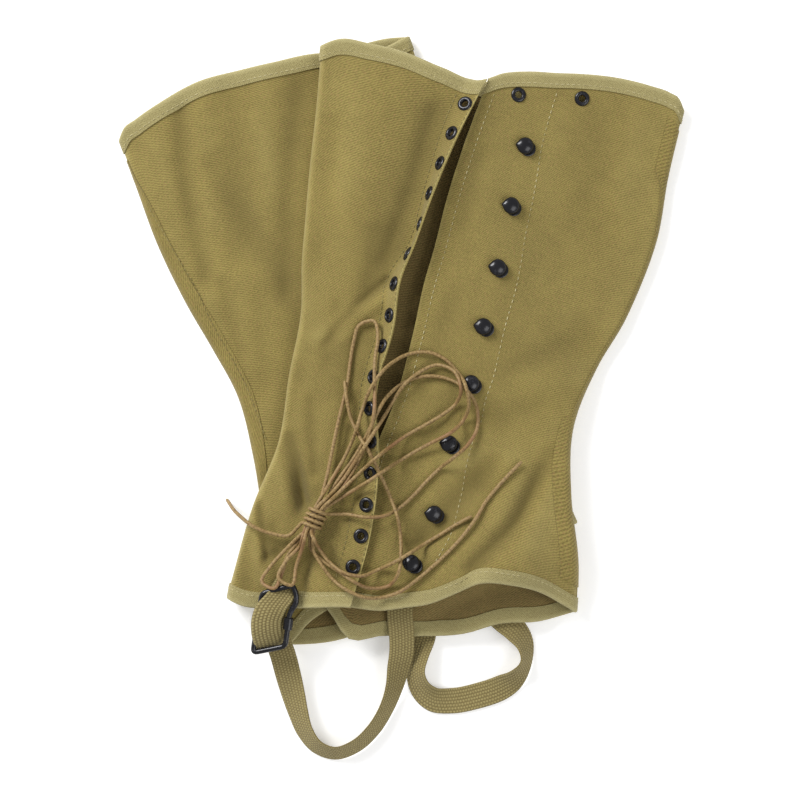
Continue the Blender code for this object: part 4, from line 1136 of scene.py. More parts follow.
class Graph:
    """A node tree that is written as expressions."""

    def __init__(self, tree: Any) -> None:
        """Keeps the tree."""
        self.tree = tree

    def node(
        self, kind: str, settings: dict[str, Any] | None = None, values: dict | None = None, out: Any = 0
    ) -> Socket:
        """Adds one node.

        Args:
            kind: the node's type.
            settings: its properties.
            values: its inputs by name, identifier or number, as values or links.
            out: the output that is returned, by name, identifier or number, or None.

        Returns:
            That output.
        """
        made = self.tree.nodes.new(kind)
        for name, value in (settings or {}).items():
            setattr(made, name, value)
        for name, value in (values or {}).items():
            port = self.port(made.inputs, name)
            if isinstance(value, Socket):
                self.tree.links.new(value.port, port)
            else:
                port.default_value = value
        return Socket(self, None if out is None else self.port(made.outputs, out))

    @staticmethod
    def port(ports: Any, name: Any) -> Any:
        """A socket by its number, its identifier or its name."""
        if isinstance(name, int):
            return ports[name]
        for port in ports:
            if port.identifier == name:
                return port
        return ports[name]

    def mix(self, share: Value, first: Value, second: Value) -> Socket:
        """A mix of two colours."""
        values = {"Factor_Float": share, "A_Color": rgba(first), "B_Color": rgba(second)}
        return self.node("ShaderNodeMix", {"data_type": "RGBA"}, values, "Result_Color")

    def noise(self, vector: Socket, scale: float, detail: float = 2.0, rough: float = 0.5) -> Socket:
        """Noise over a vector, about a half."""
        values = {"Vector": vector, "Scale": scale, "Detail": detail, "Roughness": rough}
        return self.node("ShaderNodeTexNoise", {}, values)

    def vector(self, x: Value, y: Value, z: Value = 0.0) -> Socket:
        """A vector of three values."""
        return self.node("ShaderNodeCombineXYZ", {}, {0: x, 1: y, 2: z})

    def place(self) -> Socket:
        """The place on the piece, in metres."""
        return self.node("ShaderNodeTexCoord", {}, {}, "Object")

    def cloth_map(self) -> list[Socket]:
        """The two distances of the piece's own map, in metres."""
        uv = self.node("ShaderNodeUVMap", {"uv_map": "cloth"})
        return [self.node("ShaderNodeSeparateXYZ", {}, {0: uv}, axis) for axis in ("X", "Y")]

    def bump(self, strength: float, distance: float, height: Socket) -> Socket:
        """A normal raised by a height, over a distance in metres."""
        values = {"Strength": strength, "Distance": distance, "Height": height}
        return self.node("ShaderNodeBump", {}, values, "Normal")


def started(name: str) -> tuple[Any, Graph]:
    """A new material and its graph."""
    material = bpy.data.materials.new(name)
    material.use_nodes = True
    return material, Graph(material.node_tree)


def rgba(colour: Value) -> Value:
    """A colour with its alpha, or the socket itself."""
    return colour if isinstance(colour, Socket) else (*colour, 1.0)


def srgb(red: int, green: int, blue: int) -> Colour:
    """A linear colour from one in sRGB, 0 to 255."""
    parts = (part / 255 for part in (red, green, blue))
    return tuple(((part + 0.055) / 1.055) ** 2.4 if part > SRGB_TOE else part / 12.92 for part in parts)


@dataclass(frozen=True)
class Woven:
    """A woven cloth: its threads, its colours and how uneven they are."""

    name: str
    body: Colour
    deep: Colour
    # The worn colour is also painted light on ridges; the deep one is also painted shade in troughs
    worn_and_lit: Colour
    weave: Weave = Weave.CANVAS
    pitch: float = 1.15
    relief: float = 0.16
    mottle: float = 0.62
    roughness: float = 0.93
    lean: float = 0.0
    fleck: Colour = srgb(150, 116, 72)

    def make(self) -> Any:
        """The material, on the cloth's own map in metres."""
        material, graph = started(self.name)
        u, v = graph.cloth_map()
        place = graph.place()
        turns = 2 * math.pi / (self.pitch * MM)
        lean = math.radians(self.lean)
        side = v * math.cos(lean) - u * math.sin(lean)
        along = u * math.cos(lean) + v * math.sin(lean)
        if self.weave is Weave.CANVAS:
            bend = graph.noise(place, 55.0, 1.0) * 5.0
            rows = (side * turns + bend).sine()
            dashes = (along * (turns * 0.55) + side * (turns * 0.35)).sine()
            threads = rows * (dashes * 0.4 + 0.6) * 0.5 + 0.5
            slubs = (graph.noise(graph.vector(along * 750.0, side * 1900.0), 1.0, 1.0) - 0.5) * 2.6 + 0.5
        elif self.weave is Weave.BASKET:
            columns = u * (1 / (WEBBING_CELL * MM))
            picks = v * (1 / (WEBBING_PICK * MM)) + columns.math("FLOOR") * 0.5
            threads = ((columns * math.pi).sine() * (picks * math.pi).sine()).math("ABSOLUTE")
            slubs = (graph.noise(graph.vector(u * 1300.0, v * 700.0), 1.0, 2.0) - 0.5) * 1.6 + 0.5
        else:
            threads = (u * turns).sine() * (v * turns).sine() * 0.5 + 0.5
            slubs = (graph.noise(graph.vector(u * 1000.0, v * 1000.0), 1.0, 2.0) - 0.5) * 2.6 + 0.5
        grain = (threads * 0.62 + slubs * 0.38).between(0.2, 0.8)
        patches = graph.noise(place, 22.0, 3.0, 0.55)
        blotch = graph.noise(place, 95.0, 2.0, 0.6)
        fade = ((patches - 0.5) * 1.1 + (blotch - 0.5) * 0.8) * self.mottle + 0.5
        shade = grain * 0.6 + fade.between(0.0, 1.0) * 0.4
        # The wear channel also carries painted light and painted shade from the canvas's relief
        wear = graph.node("ShaderNodeAttribute", {"attribute_name": "wear"}, {}, "Fac")
        colour = graph.mix(shade, self.deep, self.body)
        flecks = graph.noise(graph.vector(along * 700.0, side * 1500.0, 3.0), 1.0, 1.0)
        colour = graph.mix(flecks.between(0.54, 0.7) * 0.6, colour, self.fleck)
        # Pale where the channel is above 0: wear on folds and edges, and painted light on the canvas's ridges
        colour = graph.mix(wear.math("MAXIMUM", 0.0) * (blotch * 0.7 + 0.35), colour, self.worn_and_lit)
        # Deep where it is below 0: painted shade in the canvas's troughs, and on the webbing, between its
        # raised cells
        colour = graph.mix(wear.math("MULTIPLY", -1.0).math("MAXIMUM", 0.0), colour, self.deep)
        bump = graph.bump(1.0, self.relief * MM, threads * 0.7 + slubs * 0.8)
        roughness = (grain - 0.5) * -0.08 + self.roughness
        finish(material, colour, roughness, bump, {"Sheen Weight": 0.12, "Sheen Roughness": 0.6})
        return material


def finish(material: Any, colour: Value, roughness: Value, bump: Value, constants: dict[str, Any]) -> None:
    """Feeds a material's shader.

    Args:
        material: the material.
        colour: the base colour.
        roughness: the roughness.
        bump: the normal, or None.
        constants: values of sockets that are the same all over.
    """
    graph = Graph(material.node_tree)
    shader = material.node_tree.nodes["Principled BSDF"]
    given = {"Base Color": colour, "Roughness": roughness, "Normal": bump}
    for name, value in given.items():
        if isinstance(value, Socket):
            graph.tree.links.new(value.port, shader.inputs[name])
    for name, value in constants.items():
        shader.inputs[name].default_value = value


@dataclass(frozen=True)
class Blackened:
    """Blackened brass, rubbed where it is handled."""

    name: str = "blackened_metal"
    body: Colour = srgb(22, 22, 27)
    rubbed: Colour = srgb(58, 58, 66)

    def make(self) -> Any:
        """The material."""
        material, graph = started(self.name)
        place = graph.place()
        fine = graph.noise(place, 900.0, 3.0)
        broad = graph.noise(place, 210.0, 2.0)
        rub = (fine * 0.5 + broad * 0.5).between(0.52, 0.72)
        bump = graph.bump(0.25, 0.00008, fine)
        colour = graph.mix(rub * 0.6, self.body, self.rubbed)
        finish(material, colour, rub * 0.2 + 0.24, bump, {"Metallic": 0.25, "Specular IOR Level": 0.55})
        return material


@dataclass(frozen=True)
class Corded:
    """A thin waxed lace of twisted strands."""

    name: str = "waxed_lace"
    body: Colour = srgb(158, 132, 86)
    deep: Colour = srgb(108, 84, 48)
    rust: Colour = srgb(134, 92, 62)
    twist: float = 3.4

    def make(self) -> Any:
        """The material, on a map with u round the lace and v along it in metres."""
        material, graph = started(self.name)
        u, v = graph.cloth_map()
        turns = 2 * math.pi
        strands = (u * (3 * turns) + v * (turns / (self.twist * MM))).sine() * 0.5 + 0.5
        flecks = graph.noise(graph.vector(u * 5.0, v * 800.0), 1.0, 3.0)
        patches = graph.noise(graph.vector(u * 0.6, v * 26.0), 1.0, 2.0)
        shade = (strands * 0.04 + flecks * 0.96).between(0.25, 0.66)
        colour = graph.mix(shade, self.deep, self.body)
        colour = graph.mix(patches.between(0.52, 0.72) * 0.6, colour, self.rust)
        bump = graph.bump(0.35, 0.0001, strands * 0.06 + flecks)
        finish(material, colour, flecks * 0.3 + 0.42, bump, {"Specular IOR Level": 0.4})
        return material


@dataclass(frozen=True)
class Thread:
    """Sewing thread."""

    name: str
    body: Colour
    deep: Colour

    def make(self) -> Any:
        """The material."""
        material, graph = started(self.name)
        place = graph.place()
        ply = graph.noise(place, 1600.0, 2.0)
        patches = graph.noise(place, 60.0, 2.0)
        colour = graph.mix((ply * 0.5 + patches * 0.5).between(0.35, 0.62), self.deep, self.body)
        bump = graph.bump(0.4, 0.0001, ply)
        finish(material, colour, ply * 0.2 + 0.7, bump, {})
        return material


# ---- meshes


def added(name: str, data: Any) -> Any:
    """A new object in the scene."""
    thing = bpy.data.objects.new(name, data)
    bpy.context.scene.collection.objects.link(thing)
    return thing


def worked_out(thing: Any) -> Any:
    """A plain mesh of an object with its modifiers applied."""
    bpy.context.view_layer.update()
    return bpy.data.meshes.new_from_object(thing.evaluated_get(bpy.context.evaluated_depsgraph_get()))


def keep(name: str, mesh: Any, nodes: Sequence[str] = (), finishes: Sequence[Any] = ()) -> Any:
    """Adds a finished piece to the scene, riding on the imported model.

    Args:
        name: the piece's name.
        mesh: its mesh, in metres.
        nodes: the solids that it stands for.
        finishes: its materials.

    Returns:
        The piece.
    """
    piece = added(name, mesh)
    for material in finishes:
        piece.data.materials.append(material)
    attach(piece, "root")
    if nodes:
        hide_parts(*nodes)
    LOG.info("%s: %d faces", name, len(mesh.polygons))
    return piece


def mesh_of(
    name: str, points: Array, faces: Array, uv: Array, inner: Array | None = None, wear: Array | None = None
) -> Any:
    """A mesh of four sided faces.

    Args:
        name: the mesh's name.
        points: its points, in millimetres.
        faces: the corners of each face.
        uv: the cloth's map at each face's corners, in metres.
        inner: for each face, whether it takes the second finish.
        wear: for each point, how worn it is, with painted light on ridges and painted shade in troughs mixed
            in.

    Returns:
        The mesh, in metres, shaded smooth.
    """
    mesh = bpy.data.meshes.new(name)
    points[:, 2] = np.maximum(points[:, 2], SURFACE_GAP)
    mesh.vertices.add(len(points))
    mesh.vertices.foreach_set("co", (points * MM).astype(np.float32).ravel())
    mesh.loops.add(faces.size)
    mesh.loops.foreach_set("vertex_index", faces.astype(np.int32).ravel())
    mesh.polygons.add(len(faces))
    mesh.polygons.foreach_set("loop_start", np.arange(0, faces.size, faces.shape[1], dtype=np.int32))
    mesh.update(calc_edges=True)
    layer = mesh.uv_layers.new(name="cloth")
    layer.data.foreach_set("uv", uv.astype(np.float32).reshape(-1))
    if inner is not None:
        mesh.polygons.foreach_set("material_index", inner.astype(np.int32))
    if wear is not None:
        values = mesh.attributes.new("wear", "FLOAT", "POINT").data
        values.foreach_set("value", wear.astype(np.float32).ravel())
    mesh.shade_smooth()
    mesh.set_sharp_from_angle(angle=math.radians(SHARP_EDGE))
    mesh.validate()
    return mesh


def shell(name: str, grid: Array, thick: Any, wear: Array | None = None, flip: bool = False) -> Any:
    """A closed cloth wall about a grid of points.

    Args:
        name: the mesh's name.
        grid: rows and columns of points on the wall's middle, in millimetres.
        thick: the wall's thickness, or one for each point.
        wear: how worn the outer face is at each point, with painted light and painted shade mixed in.
        flip: whether the outer face is on the other side.

    Returns:
        The mesh, its inner face in the second finish.
    """
    rows, columns = grid.shape[:2]
    normals = unit(np.cross(np.gradient(grid, axis=1), np.gradient(grid, axis=0)))
    if flip:
        normals = -normals
    half = np.broadcast_to(np.asarray(thick, float), (rows, columns))[..., None] / 2
    points = np.concatenate([(grid + normals * half).reshape(-1, 3), (grid - normals * half).reshape(-1, 3)])
    across = np.linalg.norm(np.diff(grid, axis=1), axis=2).mean(axis=0)
    down = np.linalg.norm(np.diff(grid, axis=0), axis=2).mean(axis=1)
    u, v = np.meshgrid(np.array([0.0, *np.cumsum(across)]), np.array([0.0, *np.cumsum(down)]))
    place = np.stack([u, v], axis=-1).reshape(-1, 2) * MM
    count = rows * columns
    here = (np.arange(rows - 1)[:, None] * columns + np.arange(columns - 1)[None, :]).ravel()
    outer = np.stack([here, here + 1, here + columns + 1, here + columns], axis=1)
    if flip:
        outer = outer[:, ::-1]
    rim = np.concatenate(
        [
            np.arange(columns),
            np.arange(1, rows) * columns + columns - 1,
            (rows - 1) * columns + np.arange(columns - 2, -1, -1),
            np.arange(rows - 2, 0, -1) * columns,
        ]
    )
    after = np.roll(rim, -1)
    side = np.stack([after, rim, rim + count, after + count], axis=1)
    if flip:
        side = side[:, ::-1]
    faces = np.concatenate([outer, outer[:, ::-1] + count, side])
    inner = np.concatenate([np.zeros(len(outer)), np.ones(len(outer)), np.zeros(len(side))])
    both = None
    if wear is not None:
        both = np.concatenate([wear.ravel(), np.zeros(count)])
    return mesh_of(name, points, faces, np.concatenate([place, place])[faces], inner, both)


def tube(name: str, points: Array, radius: Any, sides: int, cyclic: bool = False) -> Any:
    """A cord or wire along points.

    Args:
        name: the mesh's name.
        points: its middle, in millimetres.
        radius: its radius, or one for each point.
        sides: how many sides the section has.
        cyclic: whether it joins up.

    Returns:
        The mesh, with u round the tube and v along it in metres.
    """
    count = len(points)
    if cyclic:
        ahead = unit(np.roll(points, -1, axis=0) - np.roll(points, 1, axis=0))
    else:
        ahead = unit(np.gradient(points, axis=0))
    across = np.zeros_like(points)
    start = np.cross(ahead[0], (0.0, 0.0, 1.0))
    across[0] = unit(start if np.linalg.norm(start) > 0.05 else np.cross(ahead[0], (0.0, 1.0, 0.0)))
    for k in range(1, count):
        across[k] = unit(across[k - 1] - ahead[k] * np.dot(across[k - 1], ahead[k]))
    if cyclic:
        other = np.cross(ahead[0], across[0])
        last = across[-1] - ahead[0] * np.dot(across[-1], ahead[0])
        slip = math.atan2(np.dot(last, other), np.dot(last, across[0]))
        turn = -slip * np.arange(count) / count
        across = across * np.cos(turn)[:, None] + np.cross(ahead, across) * np.sin(turn)[:, None]
    up = np.cross(ahead, across)
    angle = np.linspace(0, 2 * math.pi, sides, endpoint=False)
    reach = reach_along(points)
    wide = np.broadcast_to(np.asarray(radius, float), (count,))[:, None] * np.ones((1, sides))
    rings = points[:, None, :] + wide[..., None] * (
        across[:, None, :] * np.cos(angle)[None, :, None] + up[:, None, :] * np.sin(angle)[None, :, None]
    )
    rows = count if cyclic else count - 1
    i, j = np.meshgrid(np.arange(rows), np.arange(sides), indexing="ij")
    i, j = i.ravel(), j.ravel()
    row, next_row = i * sides, (i + 1) % count * sides
    beside = (j + 1) % sides
    faces = np.stack([row + j, row + beside, next_row + beside, next_row + j], axis=1)
    step = reach[-1] / max(count - 1, 1)
    along = np.stack([i, i, i + 1, i + 1], axis=1) * step
    round_it = np.stack([j, j + 1, j + 1, j], axis=1) / sides
    uv = np.stack([round_it, along * MM], axis=-1)
    mesh = mesh_of(name, rings.reshape(-1, 3), faces, uv)
    if cyclic:
        return mesh
    return capped(mesh)


def capped(mesh: Any) -> Any:
    """The same mesh with its open ends filled."""
    work = bmesh.new()
    work.from_mesh(mesh)
    bmesh.ops.holes_fill(work, edges=[edge for edge in work.edges if edge.is_boundary], sides=0)
    bmesh.ops.recalc_face_normals(work, faces=work.faces)
    work.to_mesh(mesh)
    work.free()
    mesh.set_sharp_from_angle(angle=math.radians(SHARP_EDGE))
    return mesh


def turned(profile: Sequence[tuple[float, float]], sides: int, aside: float = 0.0) -> tuple[Array, Array]:
    """Points and faces of a turned piece.

    Args:
        profile: (radius, height) points from the inside of the top outwards and down, closed.
        sides: how many sides it has.
        aside: how far its axis lies to one side.

    Returns:
        Its points and its four sided faces.
    """
    outline = np.array(profile, float)
    angle = np.linspace(0, 2 * math.pi, sides, endpoint=False)
    count = len(outline)
    points = np.stack(
        [
            outline[None, :, 0] * np.cos(angle)[:, None] - aside,
            outline[None, :, 0] * np.sin(angle)[:, None],
            outline[None, :, 1] * np.ones((sides, 1)),
        ],
        axis=-1,
    ).reshape(-1, 3)
    k, p = np.meshgrid(np.arange(sides), np.arange(count), indexing="ij")
    k, p = k.ravel(), p.ravel()
    after, beyond = (k + 1) % sides, (p + 1) % count
    faces = np.stack([k * count + p, k * count + beyond, after * count + beyond, after * count + p], axis=1)
    return points, faces


def joined(parts: Sequence[tuple[Array, Array]]) -> tuple[Array, Array]:
    """Several pieces' points and faces as one list."""
    points, faces, base = [], [], 0
    for part_points, part_faces in parts:
        points.append(part_points)
        faces.append(part_faces + base)
        base += len(part_points)
    return np.concatenate(points), np.concatenate(faces)


def small_mesh(name: str, points: Array, faces: Array) -> Any:
    """A small turned piece as a mesh, its poles closed and its faces outwards."""
    mesh = bpy.data.meshes.new(name)
    mesh.from_pydata([tuple(point) for point in points * MM], [], [tuple(map(int, face)) for face in faces])
    work = bmesh.new()
    work.from_mesh(mesh)
    bmesh.ops.remove_doubles(work, verts=work.verts, dist=1e-6)
    bmesh.ops.dissolve_degenerate(work, edges=work.edges, dist=1e-7)
    bmesh.ops.recalc_face_normals(work, faces=work.faces)
    work.to_mesh(mesh)
    work.free()
    mesh.shade_smooth()
    mesh.set_sharp_from_angle(angle=math.radians(SMALL_SHARP_EDGE))
    return mesh


# ---- what repeats: hooks, eyelets and stitches


@dataclass
class Scatter:
    """Places for copies of a small piece: where each stands, along what and facing what."""

    points: list[Array] = field(default_factory=list)
    along: list[Array] = field(default_factory=list)
    out: list[Array] = field(default_factory=list)

    def add(self, points: Array, along: Array, out: Array) -> None:
        """Adds rows of places, in millimetres."""
        self.points.append(np.atleast_2d(points))
        self.along.append(np.atleast_2d(along))
        self.out.append(np.atleast_2d(out))

    def stitch(self, line: Array, out: Array, length: float, gap: float) -> None:
        """Adds stitches along a line of points with normals."""
        reach = reach_along(line)
        count = max(int(reach[-1] / (length + gap)), 1)
        at = (np.arange(count) + 0.5) * reach[-1] / count
        points, ahead, behind = (read_along(line, reach, places) for places in (at, at + 0.5, at - 0.5))
        self.add(points, unit(ahead - behind), unit(read_along(out, reach, at)))

    def make(self, name: str, small: Any, material: Any, spread: float, seed: int) -> Any:
        """Copies of a small piece at all the places, as one plain mesh.

        Args:
            name: the mesh's name.
            small: the small piece's mesh.
            material: its finish.
            spread: how much the copies differ in size.
            seed: the seed of that difference.

        Returns:
            The mesh.
        """
        points, along, out = (np.concatenate(rows) for rows in (self.points, self.along, self.out))
        places = bpy.data.meshes.new(name)
        places.from_pydata([tuple(point) for point in points * MM], [], [])
        for label, rows in (("along", along), ("out", out)):
            data = places.attributes.new(label, "FLOAT_VECTOR", "POINT").data
            data.foreach_set("vector", rows.astype(np.float32).ravel())
        guide = added(name + "_places", places)
        unit_object = added(name + "_unit", small)
        tree, sockets = self.tree(name)
        modifier = guide.modifiers.new("Copies", "NODES")
        modifier.node_group = tree
        values = {"Unit": unit_object, "Finish": material, "Spread": spread, "Seed": seed}
        for label, value in values.items():
            modifier[sockets[label]] = value
        made = worked_out(guide)
        made.name = name
        guide.modifiers.clear()
        bpy.data.objects.remove(guide)
        bpy.data.objects.remove(unit_object)
        return made

    @staticmethod
    def tree(name: str) -> tuple[Any, dict[str, str]]:
        """The node tree that sets the copies, and its inputs' identifiers."""
        tree = bpy.data.node_groups.new(name + "_tree", "GeometryNodeTree")
        face = tree.interface
        face.new_socket("Geometry", in_out="INPUT", socket_type="NodeSocketGeometry")
        face.new_socket("Geometry", in_out="OUTPUT", socket_type="NodeSocketGeometry")
        kinds = {"Unit": "Object", "Finish": "Material", "Spread": "Float", "Seed": "Int"}
        sockets = {
            label: face.new_socket(label, in_out="INPUT", socket_type="NodeSocket" + kind).identifier
            for label, kind in kinds.items()
        }
        graph = Graph(tree)
        given = tree.nodes.new("NodeGroupInput")
        take = {port.name: Socket(graph, port) for port in given.outputs if port.name}
        kind = {"data_type": "FLOAT_VECTOR"}
        along, out = (
            graph.node("GeometryNodeInputNamedAttribute", kind, {"Name": label}) for label in ("along", "out")
        )
        turn = graph.node(
            "FunctionNodeAxesToRotation",
            {"primary_axis": "Z", "secondary_axis": "X"},
            {"Primary Axis": out, "Secondary Axis": along},
        )
        unit_piece = graph.node("GeometryNodeObjectInfo", {}, {"Object": take["Unit"]}, "Geometry")
        spots = graph.node("GeometryNodeMeshToPoints", {}, {"Mesh": take["Geometry"]})
        size = graph.node(
            "FunctionNodeRandomValue",
            {"data_type": "FLOAT"},
            {"Min_001": 1 - take["Spread"], "Max_001": 1 + take["Spread"], "Seed": take["Seed"]},
            "Value_001",
        )
        values = {"Points": spots, "Instance": unit_piece, "Rotation": turn, "Scale": size}
        copies = graph.node("GeometryNodeInstanceOnPoints", {}, values)
        plain = graph.node("GeometryNodeRealizeInstances", {}, {"Geometry": copies})
        dressed = graph.node("GeometryNodeSetMaterial", {}, {"Geometry": plain, "Material": take["Finish"]})
        graph.node("NodeGroupOutput", {}, {0: dressed}, None)
        return tree, sockets


# ---- sub-assemblies


@dataclass
class Finishes:
    """The pair's materials, made once."""

    canvas: Any = None
    back_canvas: Any = None
    inside: Any = None
    tape: Any = None
    webbing: Any = None
    metal: Any = None
    lace: Any = None
    pale_thread: Any = None
    dull_thread: Any = None

    def make(self) -> "Finishes":
        """Makes them all."""
        # The pale colour is for wear and for painted light on the canvas's ridges; the dark one for the grain
        # and for painted shade in its troughs
        khaki, shade, worn_and_lit = srgb(158, 142, 74), srgb(94, 81, 32), srgb(176, 162, 98)
        self.canvas = Woven("canvas_outside", khaki, shade, worn_and_lit, pitch=1.3, lean=UPPER_GRAIN).make()
        self.back_canvas = Woven("canvas_face_down", khaki, shade, worn_and_lit, pitch=1.3, lean=LOWER_GRAIN).make()
        self.inside = Woven(
            "canvas_inside", srgb(150, 130, 74), srgb(88, 74, 34), srgb(160, 140, 86),
            pitch=1.3, lean=-UPPER_GRAIN,
        ).make()
        self.tape = Woven(
            "binding_tape", srgb(180, 169, 115), srgb(118, 107, 62), srgb(192, 182, 132), Weave.TAPE,
            1.3, 0.2, 0.3, fleck=srgb(146, 130, 84),
        ).make()
        self.webbing = Woven(
            "strap_webbing", srgb(168, 154, 100), srgb(98, 84, 44), srgb(182, 169, 118), Weave.BASKET,
            2.0, 0.25, 0.3, fleck=srgb(130, 112, 66),
        ).make()
        self.metal = Blackened().make()
        self.lace = Corded().make()
        self.pale_thread = Thread("pale_thread", srgb(202, 192, 148), srgb(160, 148, 102)).make()
        self.dull_thread = Thread("khaki_thread", srgb(150, 138, 88), srgb(104, 92, 52)).make()
        return self


def steps(*stretches: tuple[float, float, int]) -> Array:
    """Places round the ring: each stretch is its first place, its last and how many steps."""
    places = [np.linspace(first, last, count + 1)[:-1] for first, last, count in stretches]
    return np.concatenate([*places, [stretches[-1][1]]])


def stitch_unit(length: float, thick: float) -> Any:
    """One stitch of thread: a bead that dips into the cloth at both ends."""
    at = np.linspace(-1, 1, 7)
    points = np.stack([at * length / 2, 0 * at, thick * 0.42 * (1 - at**2) + thick], axis=1)
    radius = thick / 2 * np.sqrt(np.maximum(1 - at**4, 0.06))
    mesh = tube("stitch", points, radius, 6)
    mesh.transform(Matrix.Translation((0.0, 0.0, -1.15 * thick * MM)))
    return mesh


@dataclass
class Seamwork:
    """Rows of stitches that become one piece."""

    name: str
    thread: float = 0.5
    length: float = 2.6
    gap: float = 0.9
    spread: float = 0.16
    seed: int = 11
    scatter: Scatter = field(default_factory=Scatter)

    def row(self, gaiter: Gaiter, around: Array, down_share: Array, out: float) -> None:
        """Adds a row on the outer side of a gaiter's surface."""
        line = gaiter.moved(around, down_share, out)
        self.scatter.stitch(line, gaiter.normal(around, down_share), self.length, self.gap)

    def sew(self, material: Any) -> Any:
        """Makes the piece."""
        unit_mesh = stitch_unit(self.length, self.thread)
        mesh = self.scatter.make(self.name, unit_mesh, material, self.spread, self.seed)
        return keep(self.name, mesh)


@dataclass
class GaiterCloth:
    """The cloth pieces of one gaiter."""

    gaiter: Gaiter
    finishes: Finishes
    rows: int
    eyelet_places: Array
    hook_places: Array
    eyelet_cut: tuple[float, float]
    hook_cut: tuple[float, float]
    tape_cut: tuple[float, float]
    seam_cut: tuple[float, float]
    rests_on: tuple[str, ...] = ()
    cloth: float = 1.05
    tape_thick: float = 0.65
    strip_thick: float = 0.5
    pieces: dict[str, Any] = field(default_factory=dict)

    def wear(self, around: Array, down_share: Array) -> Array:
        """How worn the canvas is, with painted light and shade: pale with wear on folds and edges, paler on
        ridges as painted light and darker in troughs as painted shade.
        """
        folds = sum(0.65 * np.exp(-(((around - fold) / 0.42) ** 2)) for fold in (1.5, 3.5))
        edge = 0.9 * np.exp(-((around / 0.035) ** 2)) + 0.5 * np.exp(-(((around - 5.0) / 0.012) ** 2))
        points = self.gaiter.place(around, down_share)
        across, down = self.gaiter.local(points[..., 0], points[..., 1])
        relief = sum(crease(fold, across, down) for fold in [*self.gaiter.folds, *self.gaiter.wrinkles])
        on_top = (around < 1.2) | (around > 3.8) if self.gaiter.open_up else (around > 1.8) & (around < 3.2)
        # The relief of the folds and creases paints light on ridges and shade in troughs, on the layer that
        # faces up
        return np.clip(folds + edge + np.where(on_top, relief, 0.0) * 0.14, -0.5, 1.0)

    def outside(self) -> Any:
        """The canvas's outer finish: its grain leans the other way where the gaiter lies face down."""
        return self.finishes.canvas if self.gaiter.open_up else self.finishes.back_canvas

    def panel(self, label: str, places: Array, cut: tuple[float, float]) -> None:
        """Makes one canvas panel."""
        gaiter = self.gaiter
        around, down = np.meshgrid(places, np.linspace(0, 1, self.rows + 1))
        grid = gaiter.place(around, down)
        mesh = shell(f"{gaiter.name}_{label}_cloth", grid, self.cloth, self.wear(around, down))
        faces = [self.outside(), self.finishes.inside]
        piece = keep(mesh.name, mesh, [f"{gaiter.name}_{label}"], faces)
        self.pieces[label] = (piece, cut)

    def binding(self, side: Side) -> None:
        """Makes the tape folded over one edge of both panels."""
        gaiter = self.gaiter
        label = "top_binding" if side is Side.TOP else "hem_binding"
        edge, sign = (0.0, 1.0) if side is Side.TOP else (1.0, -1.0)
        places = np.concatenate([self.eyelet_places, self.hook_places])
        out = self.cloth / 2 + TAPE_SEAT + self.tape_thick / 2
        one = np.ones_like(places)
        legs = np.linspace(TAPE_WIDTH, 0.0, 5) / NOMINAL_LENGTH
        rows = [gaiter.moved(places, (edge + sign * leg) * one, out) for leg in legs]
        for angle in np.linspace(0, math.pi, TAPE_BEND + 2)[1:-1]:
            beyond = -sign * out * 0.95 * math.sin(angle)
            rows.append(gaiter.moved(places, edge * one, out * math.cos(angle), beyond))
        rows += [gaiter.moved(places, (edge + sign * leg) * one, -out) for leg in legs[::-1]]
        grid = np.stack(rows)
        wear = np.zeros(grid.shape[:2])
        wear[4 : 4 + TAPE_BEND + 2] = 0.5
        mesh = shell(f"{gaiter.name}_{label}_tape", grid, self.tape_thick, wear, side is Side.TOP)
        piece = keep(mesh.name, mesh, [f"{gaiter.name}_{label}"], [self.finishes.tape] * 2)
        self.pieces[label] = (piece, self.tape_cut)

    def seam(self, first: float = 0.04, last: float = 0.955) -> None:
        """Makes the felled strip of the calf seam, on the visible side of the seam fold."""
        gaiter = self.gaiter
        down = np.linspace(first, last, self.rows + 1)
        nominal = down * NOMINAL_LENGTH
        radius = gaiter.row("seam_gap", nominal) / 2
        inner_turn = np.minimum(gaiter.row("strip", nominal) / (radius * math.pi / 2), 1.0) * 0.5
        beyond_turn = np.maximum(gaiter.row("strip", nominal) - radius * math.pi / 2, 0.0)
        width = abs(gaiter.row("seam", nominal) - gaiter.row("far", nominal))
        out = self.cloth / 2 + TAPE_SEAT + self.strip_thick / 2
        grid = []
        for t in np.linspace(*(UPPER_STRIP_TURN if gaiter.open_up else LOWER_STRIP_TURN), STRIP_COLUMNS):
            turn = inner_turn * t + t * beyond_turn / width
            around = 3.5 + turn if gaiter.open_up else 3.5 - turn
            grid.append(gaiter.moved(around, down, out))
        mesh = shell(f"{gaiter.name}_seam_cloth", np.stack(grid), self.strip_thick, None, gaiter.open_up)
        piece = keep(mesh.name, mesh, [gaiter.name + "_seam_strip"], [self.outside()] * 2)
        self.pieces["seam_strip"] = (piece, self.seam_cut)

    def declare(self) -> None:
        """Works out each sheet's cut in metres, and keeps none of it."""
        for piece, cut in self.pieces.values():
            flat = (cut[0] * MM, cut[1] * MM)

    def dress(self) -> None:
        """Makes every cloth piece of the gaiter."""
        self.panel("eyelet_panel", self.eyelet_places, self.eyelet_cut)
        self.panel("hook_panel", self.hook_places, self.hook_cut)
        self.binding(Side.TOP)
        self.binding(Side.HEM)
        self.seam()

